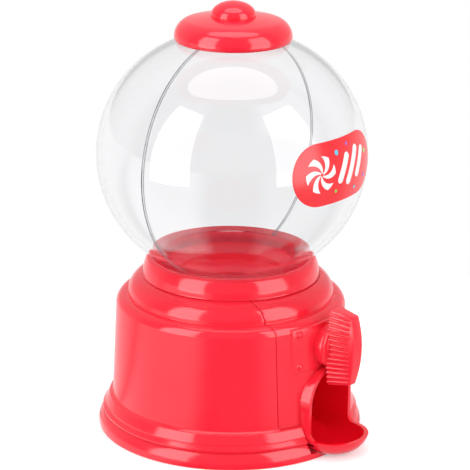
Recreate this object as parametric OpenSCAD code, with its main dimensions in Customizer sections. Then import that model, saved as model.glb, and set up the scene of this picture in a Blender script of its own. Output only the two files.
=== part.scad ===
// Small table-top gumball machine: a clear two-part globe on a stepped round base.
// Z is up, the machine faces -Y and its axis is the Z axis. It stands on Z = 0. Millimetres.

/* [Foot and base] */
// Widest radius of the foot ring
foot_r = 40.5; // [39.5:0.1:42]
// Height of the foot ring
foot_h = 9.9; // [8.5:0.1:11]
// Thickness of the floor plate
floor_t = 1.8; // [1.4:0.1:2.6]
// Outer radius of the body wall at the foot
wall_bottom_r = 36.2; // [35:0.1:37]
// Outer radius of the body wall at the shoulder
wall_top_r = 35.0; // [34.4:0.1:35.6]
// Wall thickness of the moulded base pieces
wall = 1.8; // [1.4:0.1:2.2]

/* [Steps of the base] */
// Height where the wall turns into the shoulder
shoulder_z = 38.8; // [38:0.1:41]
// Radius of the rounding on the shoulder
shoulder_round = 3.2; // [2.4:0.1:4]
// Outer radius of the middle step
step_r = 31.4; // [30.5:0.1:32]
// Height of the middle step above the shoulder
step_h = 6.2; // [5.6:0.1:7]
// Outer radius of the collar that holds the globe
collar_r = 26.8; // [26.2:0.1:27.6]
// Height of the collar above the middle step
collar_h = 5.8; // [5.2:0.1:6.6]

/* [Globe] */
// Radius of the globe at its equator
globe_r = 40.7; // [38:0.1:43]
// How far the globe's curve is centred from the axis, which flattens it
globe_flat = 4.0; // [2:0.1:5]
// Wall thickness of the globe
globe_wall = 1.5; // [1:0.1:2]
// Turn of the globe's joint from square with the front, in degrees
globe_turn = -2.5; // [-8:0.5:8]
// Width of the hairline between the two halves
globe_joint = 0.12; // [0.05:0.01:0.2]

/* [Label] */
// Width of the label
label_w = 37; // [28:1:40]
// Height of the label
label_h = 18.5; // [14:0.5:22]
// Height of the label's middle below the equator
label_drop = -2.5; // [-6:0.5:8]
// Turn of the label from the front, in degrees
label_turn = -1; // [-12:0.5:12]
// Thickness of the label
label_t = 0.25; // [0.15:0.05:0.4]

/* [Lid] */
// Outer radius of the lid's skirt
lid_r = 17.55; // [17:0.05:18.2]
// Rounding between the skirt and the top of the lid
lid_round = 5.2; // [4:0.1:5.8]
// Height of the lid from its lower edge to its middle
lid_h = 7.9; // [7.5:0.05:9]
// Wall thickness of the lid
lid_wall = 1.5; // [1.2:0.1:1.8]
// Radius of the handle on the lid
lid_knob_r = 6.7; // [5:0.1:8]
// Height of the handle above the lid
lid_knob_h = 4.0; // [3.5:0.1:6]

/* [Front] */
// Half the width of the front cover
cover_half = 17.8; // [17:0.1:18.4]
// Half the width of the raised plate
plate_half = 13.5; // [12.5:0.1:14.5]
// Height of the raised plate
plate_h = 13.6; // [12:0.1:14.4]
// How far the plate stands out from the cover
plate_t = 0.7; // [0.4:0.1:1]
// Height of the drive's axis
drive_z = 33.2; // [32.6:0.1:33.6]
// Radius of the round boss behind the knob
boss_r = 5.9; // [5.4:0.1:6.2]
// Distance of the boss's face from the machine's axis
boss_y = 38.4; // [37.8:0.1:39.4]

/* [Knob and drive] */
// Length of the knob's grip
knob_len = 23.2; // [20:0.1:24]
// Thickness of the grip at its middle
knob_w = 7.6; // [6.6:0.1:9]
// Thickness of the grip at its ends
knob_end_w = 5.4; // [4.8:0.1:6.4]
// Depth of the grip from back to front
knob_d = 8.3; // [7.5:0.1:9.5]
// Turn of the grip at rest, in degrees
knob_turn = 2; // [0:1:15]
// Pitch of the ribs on the grip
rib_pitch = 1.5; // [1.2:0.05:2]
// Radius of the drive shaft
shaft_r = 2.0; // [1.8:0.1:2.2]
// Radius of the dispensing drum
drum_r = 7.8; // [7:0.1:8.2]
// Length of the dispensing drum
drum_len = 18; // [16:0.5:20]
// Radius of the pocket for one ball
pocket_r = 4.6; // [4:0.1:4.8]

/* [Chute] */
// Half the clear width of the chute's mouth
mouth_half = 9.6; // [9:0.1:10]
// Wall thickness of the chute
chute_wall = 1.3; // [1.2:0.1:1.8]
// Height of the middle of the mouth's round top
arch_z = 15.7; // [15.2:0.1:16]
// Distance of the mouth's front edge from the machine's axis
mouth_y = 37.7; // [37.2:0.1:38.4]
// How far the scoop's round front is set ahead of the mouth
scoop_out = 1.3; // [0:0.1:2.4]
// Height of the scoop's lip
lip_z = 5.7; // [5.2:0.1:7]
// Rounding under the scoop
scoop_round = 7.4; // [6:0.1:7.6]
// Height of the chute's floor at its back end
slide_z = 14; // [11:0.5:15]

/* [Hopper] */
// Radius of the hopper's throat
throat_r = 15.5; // [14.5:0.1:16]
// Thickness of the hopper's walls
hopper_wall = 1.6; // [1.3:0.1:2]

/* [Fits and screws] */
// Gap between moulded pieces that meet edge to edge
seam = 0.25; // [0.15:0.05:0.4]
// Gap beside pieces that turn or lift off
play = 0.3; // [0.25:0.05:0.4]
// Radial clearance of a shaft in its bearing
running = 0.08; // [0.05:0.01:0.1]
// Radius of a screw's shank
screw_r = 1.2; // [1:0.05:1.3]
// Radius of a screw's head
screw_head_r = 2.3; // [2:0.1:2.5]
// Thickness of a screw's head
screw_head_t = 1.4; // [1:0.1:1.6]

/* [Hidden] */
$fn = 96;
red = "crimson";
clear = [0.9, 0.92, 0.94, 0.35];

// Heights of the base
lip_r = wall_bottom_r + 0.65;
ledge_z = foot_h - 2.7;
shoulder_top = shoulder_z + shoulder_round;
step_top = shoulder_top + step_h;
collar_top = step_top + collar_h;
step_round = step_h - 0.2;
collar_round = 1.6;
collar_bow = 10;

// Globe, with its lower flange and upper neck
globe_arc = globe_r - globe_flat;
neck_r = 21.6;
globe_sink = 0.6;
globe_z = collar_top - globe_sink + sqrt(globe_arc ^ 2 - (neck_r - globe_flat) ^ 2);
flange_r = neck_r + 2.4;
flange_t = 1.4;
seat_r = 24.2;
clamp_z = collar_top - 2.4;
rim_z = clamp_z - flange_t;
mouth_neck_r = lid_r - lid_wall - 0.45;
lid_z = globe_top_z(lid_r) + play;
lid_edge = 1.5;
lid_tuck = 0.7;
neck_top = lid_z + 1.7;

// Lengths that reach past the whole machine, across and upwards
far = foot_r * 1.5;
high = globe_z + foot_r * 1.5;

// Drive
drum_gap = 0.35;
drum_end = drum_len / 2 + play;
housing_y = drum_end + 1.7;
housing_half = drum_r + drum_gap + hopper_wall;
bearing_t = 1.8;
ear_x = housing_half + 2.3;
housing_low = drive_z - housing_half;
ear_r = screw_head_r + 0.3;
shaft_back = housing_y + bearing_t + play;
washer_t = 0.8;
knob_back = boss_y + play;
socket_d = 5;
hub_r = boss_r - 1.4;
hub_d = 1.3;
flat_x = shaft_r * 0.6;
key_gap = 0.03;

// Chute
mouth_out = mouth_half + chute_wall;
chute_back = drum_len / 2 + 1;
scoop_z = 0.3;
front_cut = 32;
slide_y = front_cut + 4;
notch_y = wall_at(ledge_z) - wall - 10;
scoop_flat = mouth_half - scoop_round + chute_wall;
scoop_y = mouth_y + scoop_out;
lip_sweep = 2.2;

// Hopper
bowl_z = globe_z - 2;
throat_z = step_top - 0.2;
bowl_r = norm([throat_r, bowl_z - throat_z]);
throat_out = throat_r + hopper_wall;
throat_floor = drive_z + housing_half - 0.6;
funnel_top = throat_floor + 3.4;
feed_half = pocket_r + 0.6;
lug_z = shoulder_top + 0.4;
lug_t = 1.6;
lug_ring_r = 24.8;
lug_angles = [-52, 52, 128, 232];
lug_r = 2.2;

// Screw posts
post_ring_r = wall_bottom_r - wall - 2.6;
post_r = 2.8;
post_z = 5.2;
post_angles = [45, 135, 225, 315];
tab_x = 14;
tab_y = 26;
tab_t = 1.6;
tab_z = [15, 31];
cover_low = ledge_z + 0.3;
thread_gap = 0.05;

// Radius of the body wall at a height, and height of the globe's outside at a radius
function wall_at(z) =
    wall_bottom_r + (wall_top_r - wall_bottom_r) * (z - foot_h) / (shoulder_z - foot_h);
function globe_top_z(r) = globe_z + sqrt(globe_arc ^ 2 - (r - globe_flat) ^ 2);
function globe_bottom_z(r, t = 0) = globe_z - sqrt((globe_arc - t) ^ 2 - (r - globe_flat) ^ 2);
// Points along an arc from angle a to angle b
function arc(x, y, r, a, b, n = 10) =
    [for (i = [0:n]) [x + r * cos(a + (b - a) * i / n), y + r * sin(a + (b - a) * i / n)]];

// A rectangle from one corner to the other
module span(low, high) {
    translate(low) square(high - low);
}

module slab(low, high) {
    translate(low) cube(high - low);
}

// A round bar along Y from y0 to y1
module bar_y(r, y0, y1, x = 0, z = 0) {
    translate([x, y1, z]) rotate([90, 0, 0]) cylinder(r = r, h = y1 - y0);
}

module at_angles(angles, r) {
    for (a = angles) rotate(a) translate([0, -r, 0]) children();
}

module screw(length) {
    cylinder(r = screw_head_r, h = screw_head_t);
    translate([0, 0, screw_head_t]) cylinder(r = screw_r, h = length);
}

// Outline of the base above the foot, moved inwards by t
module base_outline(t = 0) {
    polygon([[0, ledge_z - t], [wall_at(ledge_z) - t, ledge_z - t],
             [wall_at(shoulder_z) - t, shoulder_z], [0, shoulder_z]]);
    span([0, shoulder_z - 1], [wall_top_r - shoulder_round, shoulder_top - t]);
    translate([wall_top_r - shoulder_round, shoulder_z]) circle(shoulder_round - t);
    span([0, shoulder_top - t - 1], [step_r - step_round, step_top - t]);
    translate([step_r - step_round, step_top - step_round]) circle(step_round - t);
}

// The collar's side bows inwards and ends in a small rounding under the globe
module collar_outline() {
    low = step_top + 0.3;
    reach = collar_bow - collar_round;
    rise = collar_top - collar_round - low;
    turn = asin(rise / reach);
    polygon(concat([[0, step_top - wall], [collar_r, step_top - wall]],
        arc(collar_r - collar_bow, low, collar_bow, 0, turn, 8),
        arc(collar_r - collar_bow + sqrt(reach ^ 2 - rise ^ 2), collar_top - collar_round, collar_round,
            turn + 12, 90, 5),
        [[0, collar_top]]));
}

module right_half() {
    intersection() {
        children();
        span([0, 0], [far, high]);
    }
}

// The moulded skin of the base as a full ring, without the collar
module base_skin() {
    rotate_extrude() right_half() difference() {
        base_outline();
        base_outline(wall);
        span([0, shoulder_top - wall - 1], [step_r - wall, step_top - step_round]);
        span([0, 0], [wall_at(ledge_z) - wall, ledge_z + 2]);
        span([0, 0], [flange_r + 0.4, high]);
    }
}

// A strip behind the edge of the front cover, between two distances from the middle plane
module cover_ledge(x0, x1, reach) {
    for (side = [0, 1]) mirror([side, 0, 0]) intersection() {
        rotate_extrude() polygon([[wall_at(12) - wall - 1.6, 12], [wall_at(12) - wall + reach, 12],
            [wall_at(shoulder_z) - wall + reach, shoulder_z - 1],
            [wall_at(shoulder_z) - wall - 1.6, shoulder_z - 1]]);
        slab([x0, -far, 0], [x1, 0, high]);
    }
}

// The foot ring's upper slope, ending in a small rounding beside the wall
function foot_top() = concat(
    arc(foot_r - 4.25, foot_h - 3.2, 2, 0, 30, 4),
    arc(lip_r - 0.1, foot_h - 0.5, 0.5, 30, 75, 3),
    [[lip_r, foot_h]]);

module base_tray() {
    color(red) difference() {
        union() {
            rotate_extrude() polygon(concat(
                [[0, 0], [foot_r - 0.3, 0]],
                arc(foot_r - 5.5, 0.7, 5.5, -5, 48),
                [[foot_r - 2.05, foot_h - 4.85], [foot_r - 2.1, foot_h - 4.45]],
                foot_top(),
                [[lip_r, ledge_z], [wall_at(ledge_z) - wall - 0.4, ledge_z],
                 [wall_at(ledge_z) - wall - 0.4, foot_h + 1.3], [wall_at(ledge_z) - wall - 1.8, foot_h + 1.3],
                 [wall_at(ledge_z) - wall - 1.8, floor_t], [0, floor_t]]));
            at_angles(post_angles, post_ring_r) cylinder(r = post_r + 0.8, h = post_z);
        }
        at_angles(post_angles, post_ring_r) {
            translate([0, 0, post_z]) cylinder(r = post_r + play, h = 20);
            translate([0, 0, -1]) cylinder(r = screw_head_r + 0.2, h = 3.2);
            translate([0, 0, -1]) cylinder(r = screw_r + 0.15, h = 20);
        }
        chute_notch();
        slab([-cover_half, -far, ledge_z + 0.05], [cover_half, -notch_y, high]);
    }
    color(red) difference() {
        intersection() {
            rotate_extrude() polygon(concat(
                [[lip_r, ledge_z - 1], [foot_r - 2.2, ledge_z - 1]], foot_top()));
            slab([-cover_half - 1, -far, 0], [cover_half + 1, -tab_y, high]);
        }
        chute_notch();
    }
}

// The space in the foot ring that the chute comes out through
module chute_notch() {
    chute_bar(chute_wall + seam, -far, -front_cut);
    slab([-scoop_flat, -far, -1], [scoop_flat, -front_cut, scoop_z + scoop_round]);
    slab([-mouth_out - seam, -far, floor_t + 0.02], [mouth_out + seam, -notch_y, arch_z]);
}

module body_shell() {
    color(red) difference() {
        union() {
            difference() {
                base_skin();
                slab([-cover_half - seam / 2, -far, 0], [cover_half + seam / 2, 0, step_top]);
            }
            rotate_extrude() difference() {
                right_half() collar_outline();
                span([0, 0], [flange_r + 0.4, clamp_z]);
                span([0, 0], [neck_r + play, high]);
                polygon([[neck_r, collar_top - 1.6], [seat_r, collar_top], [seat_r, high], [neck_r, high]]);
            }
            cover_ledge(cover_half - 2.4, cover_half + 1.8, -0.1);
            cover_ledge(cover_half + seam / 2 + 0.1, cover_half + 1.8, 0.5);
            at_angles(lug_angles, lug_ring_r)
                translate([0, 0, lug_z + lug_t]) cylinder(r = lug_r, h = step_top - wall / 2 - lug_z - lug_t);
            at_angles(post_angles, post_ring_r)
                translate([0, 0, post_z]) cylinder(r = post_r, h = 9);
            for (side = [0, 1]) mirror([side, 0, 0]) for (z = tab_z)
                slab([tab_x - lug_r, -tab_y, z - 3], [sqrt((wall_at(z) - wall) ^ 2 - tab_y ^ 2) + 2.2,
                     -tab_y + tab_t, z + 3]);
        }
        for (side = [-1, 1]) for (z = tab_z) {
            bar_y(screw_r + 0.15, -far, 0, side * tab_x, z);
            bar_y(lug_r + play, -far, -tab_y, side * tab_x, z);
        }
        at_angles(lug_angles, lug_ring_r)
            translate([0, 0, lug_z]) cylinder(r = screw_r + thread_gap, h = 4.4);
        at_angles(post_angles, post_ring_r)
            cylinder(r = screw_r + thread_gap, h = post_z + 7.4);
    }
}

// Outline of the chute across, moved outwards by t
module chute_outline(t = 0) {
    corner = scoop_round - chute_wall;
    translate([0, arch_z]) circle(mouth_half + t);
    span([-mouth_half - t, scoop_z + scoop_round], [mouth_half + t, arch_z]);
    for (side = [-1, 1])
        translate([side * (mouth_half - corner), scoop_z + scoop_round]) circle(corner + t);
    span([corner - mouth_half, scoop_z + chute_wall - t], [mouth_half - corner, scoop_z + scoop_round + 1]);
}

// Its solid along Y from y0 to y1
module chute_bar(t, y0, y1) {
    translate([0, y1, 0]) rotate([90, 0, 0]) linear_extrude(y1 - y0) chute_outline(t);
}

// The half-round bowl at the chute's front, moved outwards by t
module scoop_bowl(t, top) {
    corner = scoop_round - chute_wall;
    translate([0, -scoop_y, 0]) rotate_extrude() difference() {
        union() {
            translate([mouth_half - corner, scoop_z + scoop_round]) circle(corner + t);
            span([0, scoop_z + chute_wall - t], [mouth_half - corner, scoop_z + scoop_round + 1]);
            span([0, scoop_z + scoop_round], [mouth_half + t, top]);
        }
        span([-far, -1], [0, high]);
    }
}

module front_cover() {
    plate_z = arch_z + mouth_out + 0.2;
    color(red) difference() {
        union() {
            intersection() {
                base_skin();
                slab([-cover_half + seam / 2, -far, cover_low], [cover_half - seam / 2, -10, step_top - play]);
            }
            intersection() {
                rotate_extrude() polygon([[wall_at(plate_z) - 1, plate_z], [wall_at(plate_z) + plate_t, plate_z],
                    [wall_at(plate_z + plate_h) + plate_t, plate_z + plate_h],
                    [wall_at(plate_z + plate_h) - 3, plate_z + plate_h], [wall_at(plate_z) - 1.4, shoulder_z]]);
                slab([-plate_half, -far, 0], [plate_half, -10, high]);
            }
            bar_y(boss_r, -boss_y, 2 - wall_at(drive_z), 0, drive_z);
            bar_y(shaft_r + 2, 1 - wall_at(drive_z), 6 - wall_at(drive_z), 0, drive_z);
            for (side = [-1, 1]) for (z = tab_z)
                bar_y(lug_r, -tab_y - 5.4, -tab_y, side * tab_x, z);
            for (side = [-1, 1]) for (z = [plate_z + 1.9, plate_z + plate_h - 1.9])
                translate([side * (plate_half - 2.3), -sqrt((wall_at(z) + plate_t) ^ 2 - (plate_half - 2.3) ^ 2) + 0.5, z])
                    sphere(r = 1.1);
        }
        cylinder(r = collar_r + seam, h = high);
        chute_bar(chute_wall + 0.1, -far, -10);
        bar_y(hub_r + play + 0.1, -far, -boss_y + 1.6, 0, drive_z);
        bar_y(shaft_r + running, -far, 0, 0, drive_z);
        for (side = [-1, 1]) for (z = tab_z)
            bar_y(screw_r + thread_gap, -tab_y - 4, 0, side * tab_x, z);
    }
}

module chute() {
    top = lip_z + lip_sweep;
    color(red) difference() {
        union() {
            chute_bar(chute_wall, -scoop_y, chute_back + chute_wall);
            intersection() {
                scoop_bowl(chute_wall, top);
                slab([-far, -far, 0], [far, -scoop_y + 0.5, top]);
            }
        }
        difference() {
            union() {
                chute_bar(0, -scoop_y, chute_back);
                intersection() {
                    scoop_bowl(0, top + 1);
                    slab([-far, -far, 0], [far, -scoop_y + 0.5, top + 2]);
                }
            }
            translate([mouth_out * 2, 0, 0]) rotate([90, 0, -90]) linear_extrude(mouth_out * 4)
                polygon([[-chute_back - 1, slide_z + 0.25], [slide_y, scoop_z + chute_wall], [slide_y, -1],
                         [-chute_back - 1, -1]]);
        }
        // the swept edge between the mouth and the scoop's lip
        translate([-mouth_out * 2, 0, 0]) rotate([90, 0, 90]) linear_extrude(mouth_out * 4) {
            span([-far, lip_z], [-mouth_y - lip_sweep, high]);
            span([-far, lip_z + lip_sweep], [-mouth_y, high]);
            translate([-mouth_y - lip_sweep, lip_z + lip_sweep]) circle(lip_sweep);
        }
        slab([-far, -front_cut - seam, -1], [far, far, floor_t + 0.05]);
        slab([-far, -housing_y - 0.5, housing_low - play], [far, far, high]);
    }
}

module hopper() {
    color(red) difference() {
        union() {
            rotate_extrude() polygon(concat(
                [[throat_r, throat_floor], [throat_out, throat_floor], [throat_out, throat_z - 1.4],
                 [neck_r - globe_wall, rim_z - 1.8], [flange_r + 0.1, rim_z - 1.8], [flange_r + 0.1, rim_z]],
                [for (i = [8:-1:0]) let (r = throat_r + (neck_r - globe_wall - 0.3 - throat_r) * i / 8)
                    [r, bowl_z - sqrt(bowl_r ^ 2 - r ^ 2)]]));
            rotate_extrude() polygon([[feed_half, throat_floor], [throat_out, throat_floor], [throat_out, funnel_top],
                [throat_r - 0.1, funnel_top], [feed_half, throat_floor + 1.4]]);
            intersection() {
                bar_y(housing_half, -housing_y, housing_y, 0, drive_z);
                slab([-throat_out, -throat_out, drive_z], [throat_out, throat_out, throat_floor + 1]);
            }
            slab([-housing_half, -housing_y, housing_low], [housing_half, housing_y, drive_z + 0.1]);
            for (side = [-1, 1]) {
                bar_y(ear_r, housing_y - 7, housing_y, side * ear_x, drive_z);
                slab([min(0, side * ear_x), housing_y - 7, drive_z - ear_r],
                     [max(0, side * ear_x), housing_y, drive_z + ear_r]);
            }
            at_angles(lug_angles, 0) {
                slab([-lug_r, -lug_ring_r, lug_z], [lug_r, -throat_r - 0.4, lug_z + lug_t]);
                translate([0, -lug_ring_r, lug_z]) cylinder(r = lug_r, h = lug_t);
            }
        }
        cylinder(r = feed_half, h = funnel_top);
        bar_y(drum_r + drum_gap, -drum_end, drum_end, 0, drive_z);
        slab([-drum_r - drum_gap, -drum_end, 0], [drum_r + drum_gap, drum_end, drive_z]);
        bar_y(shaft_r + running, -far, far, 0, drive_z);
        for (side = [-1, 1]) bar_y(screw_r + thread_gap, housing_y - 6, far, side * ear_x, drive_z);
        at_angles(lug_angles, lug_ring_r) translate([0, 0, lug_z - 1]) cylinder(r = screw_r + 0.15, h = 6);
    }
}

module globe_shell() {
    neck_in = neck_r - globe_wall;
    mouth_in = mouth_neck_r - globe_wall;
    rotate_extrude() {
        difference() {
            translate([globe_flat, globe_z]) circle(globe_arc, $fn = 180);
            translate([globe_flat, globe_z]) circle(globe_arc - globe_wall, $fn = 180);
            span([-far, 0], [neck_in, globe_z]);
            span([-far, 0], [mouth_in, high]);
        }
        span([neck_in, rim_z], [neck_r, globe_bottom_z(neck_in, globe_wall)]);
        span([neck_in, rim_z], [flange_r, clamp_z]);
        span([mouth_in, globe_top_z(mouth_in) - globe_wall], [mouth_neck_r, neck_top]);
    }
}

module globe_front() {
    color(clear) rotate(globe_turn) intersection() {
        globe_shell();
        slab([-far, -far, 0], [far, -globe_joint / 2, high]);
    }
}

module globe_rear() {
    color(clear) rotate(globe_turn) intersection() {
        globe_shell();
        slab([-far, globe_joint / 2, 0], [far, far, high]);
    }
}

module globe_label() {
    color("red") rotate(label_turn) intersection() {
        rotate_extrude() difference() {
            translate([globe_flat, globe_z]) circle(globe_arc + label_t + 0.02, $fn = 180);
            translate([globe_flat, globe_z]) circle(globe_arc + 0.02, $fn = 180);
            span([-far, 0], [label_h / 2, high]);
        }
        translate([0, -label_h / 2, globe_z - label_drop]) rotate([90, 0, 0]) linear_extrude(far) {
            span([-(label_w - label_h) / 2, -label_h / 2], [(label_w - label_h) / 2, label_h / 2]);
            for (side = [-1, 1]) translate([side * (label_w - label_h) / 2, 0]) circle(label_h / 2);
        }
    }
}

// Outline of the lid's outside, moved inwards by t
function lid_outline(t) =
    let (a = lid_r - lid_round, h = lid_h - lid_edge,
         big = (a ^ 2 + h ^ 2 - lid_round ^ 2) / (2 * (h - lid_round)),
         meet = asin((big - h) / (big - lid_round)))
    concat([[0, lid_z - 1], [lid_r - t, lid_z - 1]],
           arc(a, lid_z + lid_edge, lid_round - t, 0, meet, 12),
           arc(0, lid_z + lid_h - big, big - t, meet + 1, 90, 8));

module lid() {
    seat = lid_seat_z();
    color(red) difference() {
        rotate_extrude() difference() {
            polygon(lid_outline(0));
            difference() {
                polygon(lid_outline(lid_wall));
                span([mouth_neck_r - 1.2, neck_top + play], [lid_r, lid_z + lid_h]);
            }
            polygon([[lid_r - lid_tuck, lid_z - 1], [lid_r - lid_tuck, lid_z + 0.2], [lid_r - lid_tuck * 0.35, lid_z + 0.8],
                     [lid_r, lid_z + lid_edge], [lid_r + 1, lid_z + lid_edge], [lid_r + 1, lid_z - 1]]);
            translate([globe_flat, globe_z]) circle(globe_arc + play, $fn = 180);
            span([-1, 0], [0, high]);
        }
        translate([0, 0, seat]) cylinder(r = lid_knob_r - 0.35, h = 5);
        cylinder(r = lid_knob_r / 3, h = high);
    }
}

// Height of the flat that the handle sits on
function lid_seat_z() = lid_z + lid_h - 0.6;

module lid_knob() {
    seat = lid_seat_z();
    color(red) union() {
        rotate_extrude() polygon(concat([[0, seat], [lid_knob_r - 0.45, seat], [lid_knob_r - 0.45, seat + 0.35]],
            [for (i = [-1:12]) let (a = i * 7.5)
                [lid_knob_r * cos(a), seat + 0.9 + (lid_knob_h - 0.2) * sin(a)]]));
        translate([0, 0, seat - lid_wall]) cylinder(r = lid_knob_r / 3, h = lid_wall + 1);
    }
}

// The grip: two bulged flanks that draw together towards the front, with a crowned face
module knob() {
    bulge = (knob_len ^ 2 / 4 - ((knob_w - knob_end_w) / 2) ^ 2) / (knob_w - knob_end_w)
            + (knob_w - knob_end_w) / 4;
    draft = 10;
    rib_count = floor((knob_len - 2) / rib_pitch / 2);
    color(red) translate([0, -knob_back, drive_z]) difference() {
        union() {
            rotate([0, knob_turn, 0]) {
                intersection() {
                    rotate(draft) bar_y(bulge, -far, far, bulge - knob_w / 2, 0, $fn = 360);
                    rotate(-draft) bar_y(bulge, -far, far, knob_w / 2 - bulge, 0, $fn = 360);
                    translate([-knob_w, 0, 0]) rotate([90, 0, 90]) linear_extrude(knob_w * 2) knob_side();
                }
                for (i = [-rib_count:rib_count], side = [-1, 1])
                    let (z = i * rib_pitch, x = bulge - sqrt(bulge ^ 2 - z ^ 2))
                    translate([side * (knob_w / 2 - x), 0, z]) rotate([90, 0, -side * draft])
                        cylinder(r = 0.42, h = knob_d * 0.84, $fn = 16);
            }
            bar_y(hub_r, -1, hub_d, 0, 0);
        }
        difference() {
            bar_y(shaft_r + key_gap, -socket_d, 5, 0, 0);
            slab([flat_x + key_gap, -10, -5], [5, 0.4, 5]);
        }
    }
}

// Side view of the grip, with its back at 0 and its front at -knob_d
module knob_side() {
    crown = 45;
    intersection() {
        polygon([[0, -knob_len / 2], [0, knob_len / 2], [-1, knob_len / 2],
                 [-knob_d, knob_len / 2 - 1.7], [-knob_d, 1.7 - knob_len / 2], [-1, -knob_len / 2]]);
        translate([crown - knob_d, 0]) circle(crown, $fn = 360);
    }
}

module drive_shaft() {
    color("gainsboro") difference() {
        bar_y(shaft_r, -knob_back - socket_d + 0.2, shaft_back, 0, drive_z);
        translate([0, 0, drive_z]) {
            slab([flat_x, -far, -5], [5, -knob_back + 0.5, 5]);
            slab([flat_x, -drum_len / 2, -5], [5, far, 5]);
        }
        bar_y(screw_r + thread_gap, shaft_back - 8, far, 0, drive_z);
    }
}

module drum() {
    color(red) translate([0, 0, drive_z]) difference() {
        bar_y(drum_r, -drum_len / 2, drum_len / 2);
        for (side = [-1, 1]) translate([0, 0, side * (drum_r - 0.4)]) sphere(r = pocket_r);
        difference() {
            bar_y(shaft_r + key_gap, -drum_len, drum_len);
            slab([flat_x + key_gap, -drum_len, -5], [5, drum_len, 5]);
        }
    }
}

module drum_washer() {
    color("silver") difference() {
        bar_y(shaft_r + 1.6, shaft_back, shaft_back + washer_t, 0, drive_z);
        bar_y(screw_r + 0.15, 0, far, 0, drive_z);
    }
}

module drum_screw() {
    color("silver") translate([0, shaft_back + washer_t + screw_head_t, drive_z])
        rotate([90, 0, 0]) screw(7);
}

module bearing_plate() {
    color(red) translate([0, housing_y + bearing_t, drive_z]) rotate([90, 0, 0]) linear_extrude(bearing_t)
        difference() {
            union() {
                circle(shaft_r + 2);
                for (side = [-1, 1]) translate([side * ear_x, 0]) circle(ear_r);
                span([-ear_x, -ear_r], [ear_x, ear_r]);
            }
            circle(shaft_r + running);
            for (side = [-1, 1]) translate([side * ear_x, 0]) circle(screw_r + 0.15);
        }
}

module bearing_screws() {
    color("silver") for (side = [-1, 1])
        translate([side * ear_x, housing_y + bearing_t + screw_head_t, drive_z]) rotate([90, 0, 0]) screw(6.5);
}

module hopper_screws() {
    color("silver") at_angles(lug_angles, lug_ring_r)
        translate([0, 0, lug_z - screw_head_t]) screw(4.2);
}

module cover_screws() {
    color("silver") for (side = [-1, 1]) for (z = tab_z)
        translate([side * tab_x, -tab_y + tab_t + screw_head_t, z]) rotate([90, 0, 0]) screw(5);
}

module base_screws() {
    color("silver") at_angles(post_angles, post_ring_r)
        translate([0, 0, 2.2 - screw_head_t]) screw(8);
}

base_tray();
body_shell();
front_cover();
chute();
hopper();
globe_front();
globe_rear();
globe_label();
lid();
lid_knob();
knob();
drive_shaft();
drum();
drum_washer();
drum_screw();
bearing_plate();
bearing_screws();
hopper_screws();
cover_screws();
base_screws();
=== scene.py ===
"""Visual model of a small table-top gumball machine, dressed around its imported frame.

Lengths are written in millimetres and scaled to metres when a piece is finished. The machine
stands on Z = 0, its axis is the Z axis and its front faces -Y. Angles are in degrees.
"""

from __future__ import annotations

import logging
import math
from dataclasses import dataclass, field
from enum import Enum
from typing import Callable, Iterable, Sequence

import bmesh
import bpy
from mathutils import Matrix, Vector

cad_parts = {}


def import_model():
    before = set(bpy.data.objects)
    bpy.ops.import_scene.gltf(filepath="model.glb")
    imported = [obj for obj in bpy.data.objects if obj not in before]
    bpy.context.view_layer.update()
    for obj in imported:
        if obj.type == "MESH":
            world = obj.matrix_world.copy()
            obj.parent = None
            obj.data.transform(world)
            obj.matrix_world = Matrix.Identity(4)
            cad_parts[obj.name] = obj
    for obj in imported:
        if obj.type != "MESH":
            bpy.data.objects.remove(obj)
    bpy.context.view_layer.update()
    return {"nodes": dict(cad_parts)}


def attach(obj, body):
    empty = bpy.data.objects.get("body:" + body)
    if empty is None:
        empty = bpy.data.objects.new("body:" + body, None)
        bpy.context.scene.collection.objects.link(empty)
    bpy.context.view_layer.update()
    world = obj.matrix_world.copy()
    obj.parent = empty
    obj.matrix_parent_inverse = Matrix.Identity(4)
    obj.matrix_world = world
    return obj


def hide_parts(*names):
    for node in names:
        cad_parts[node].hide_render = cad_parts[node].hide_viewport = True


LOG = logging.getLogger("gumball_machine")
MM = 0.001
FULL_STEPS = 240
MERGE = 0.004
FLAT = 0.15  # faces that turn less than this count as one
ON_PLANE = 1e-4
IN_FRONT = -60.0  # in front of every piece
ASIDE = 20.0  # beside the chute and the grip
BELOW = -1.0  # under the floor
ORIGIN = Vector((0, 0, 0))

Pair = tuple[float, float]
Corner = tuple[float, float, float]
Colour = tuple[float, float, float]
Object = bpy.types.Object
Material = bpy.types.Material
Node = bpy.types.Node
Socket = bpy.types.NodeSocket


class Body(Enum):
    """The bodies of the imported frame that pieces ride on."""

    MACHINE = "machine"
    DISPENSER = "dispenser"
    LID = "lid"


class Slot(Enum):
    """The record's material slots."""

    RED = "red_plastic"
    CLEAR = "clear_plastic"
    LABEL = "label"


class Cut(Enum):
    """How one closed mesh is combined with another."""

    JOIN = "UNION"
    REMOVE = "DIFFERENCE"
    KEEP = "INTERSECT"


class Axis(Enum):
    """The axes that outlines and pieces are turned round."""

    UP = "Z"
    BACK = "Y"


class Plane(Enum):
    """Planes of outlines: where their two coordinates and the one off the plane go."""

    XZ = (0, 2, 1)
    YZ = (1, 2, 0)
    XY = (0, 1, 2)


class LampShape(Enum):
    """Outlines of a soft lamp."""

    BOX = "RECTANGLE"
    OVAL = "ELLIPSE"


# ---------------------------------------------------------------- finishes


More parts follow.
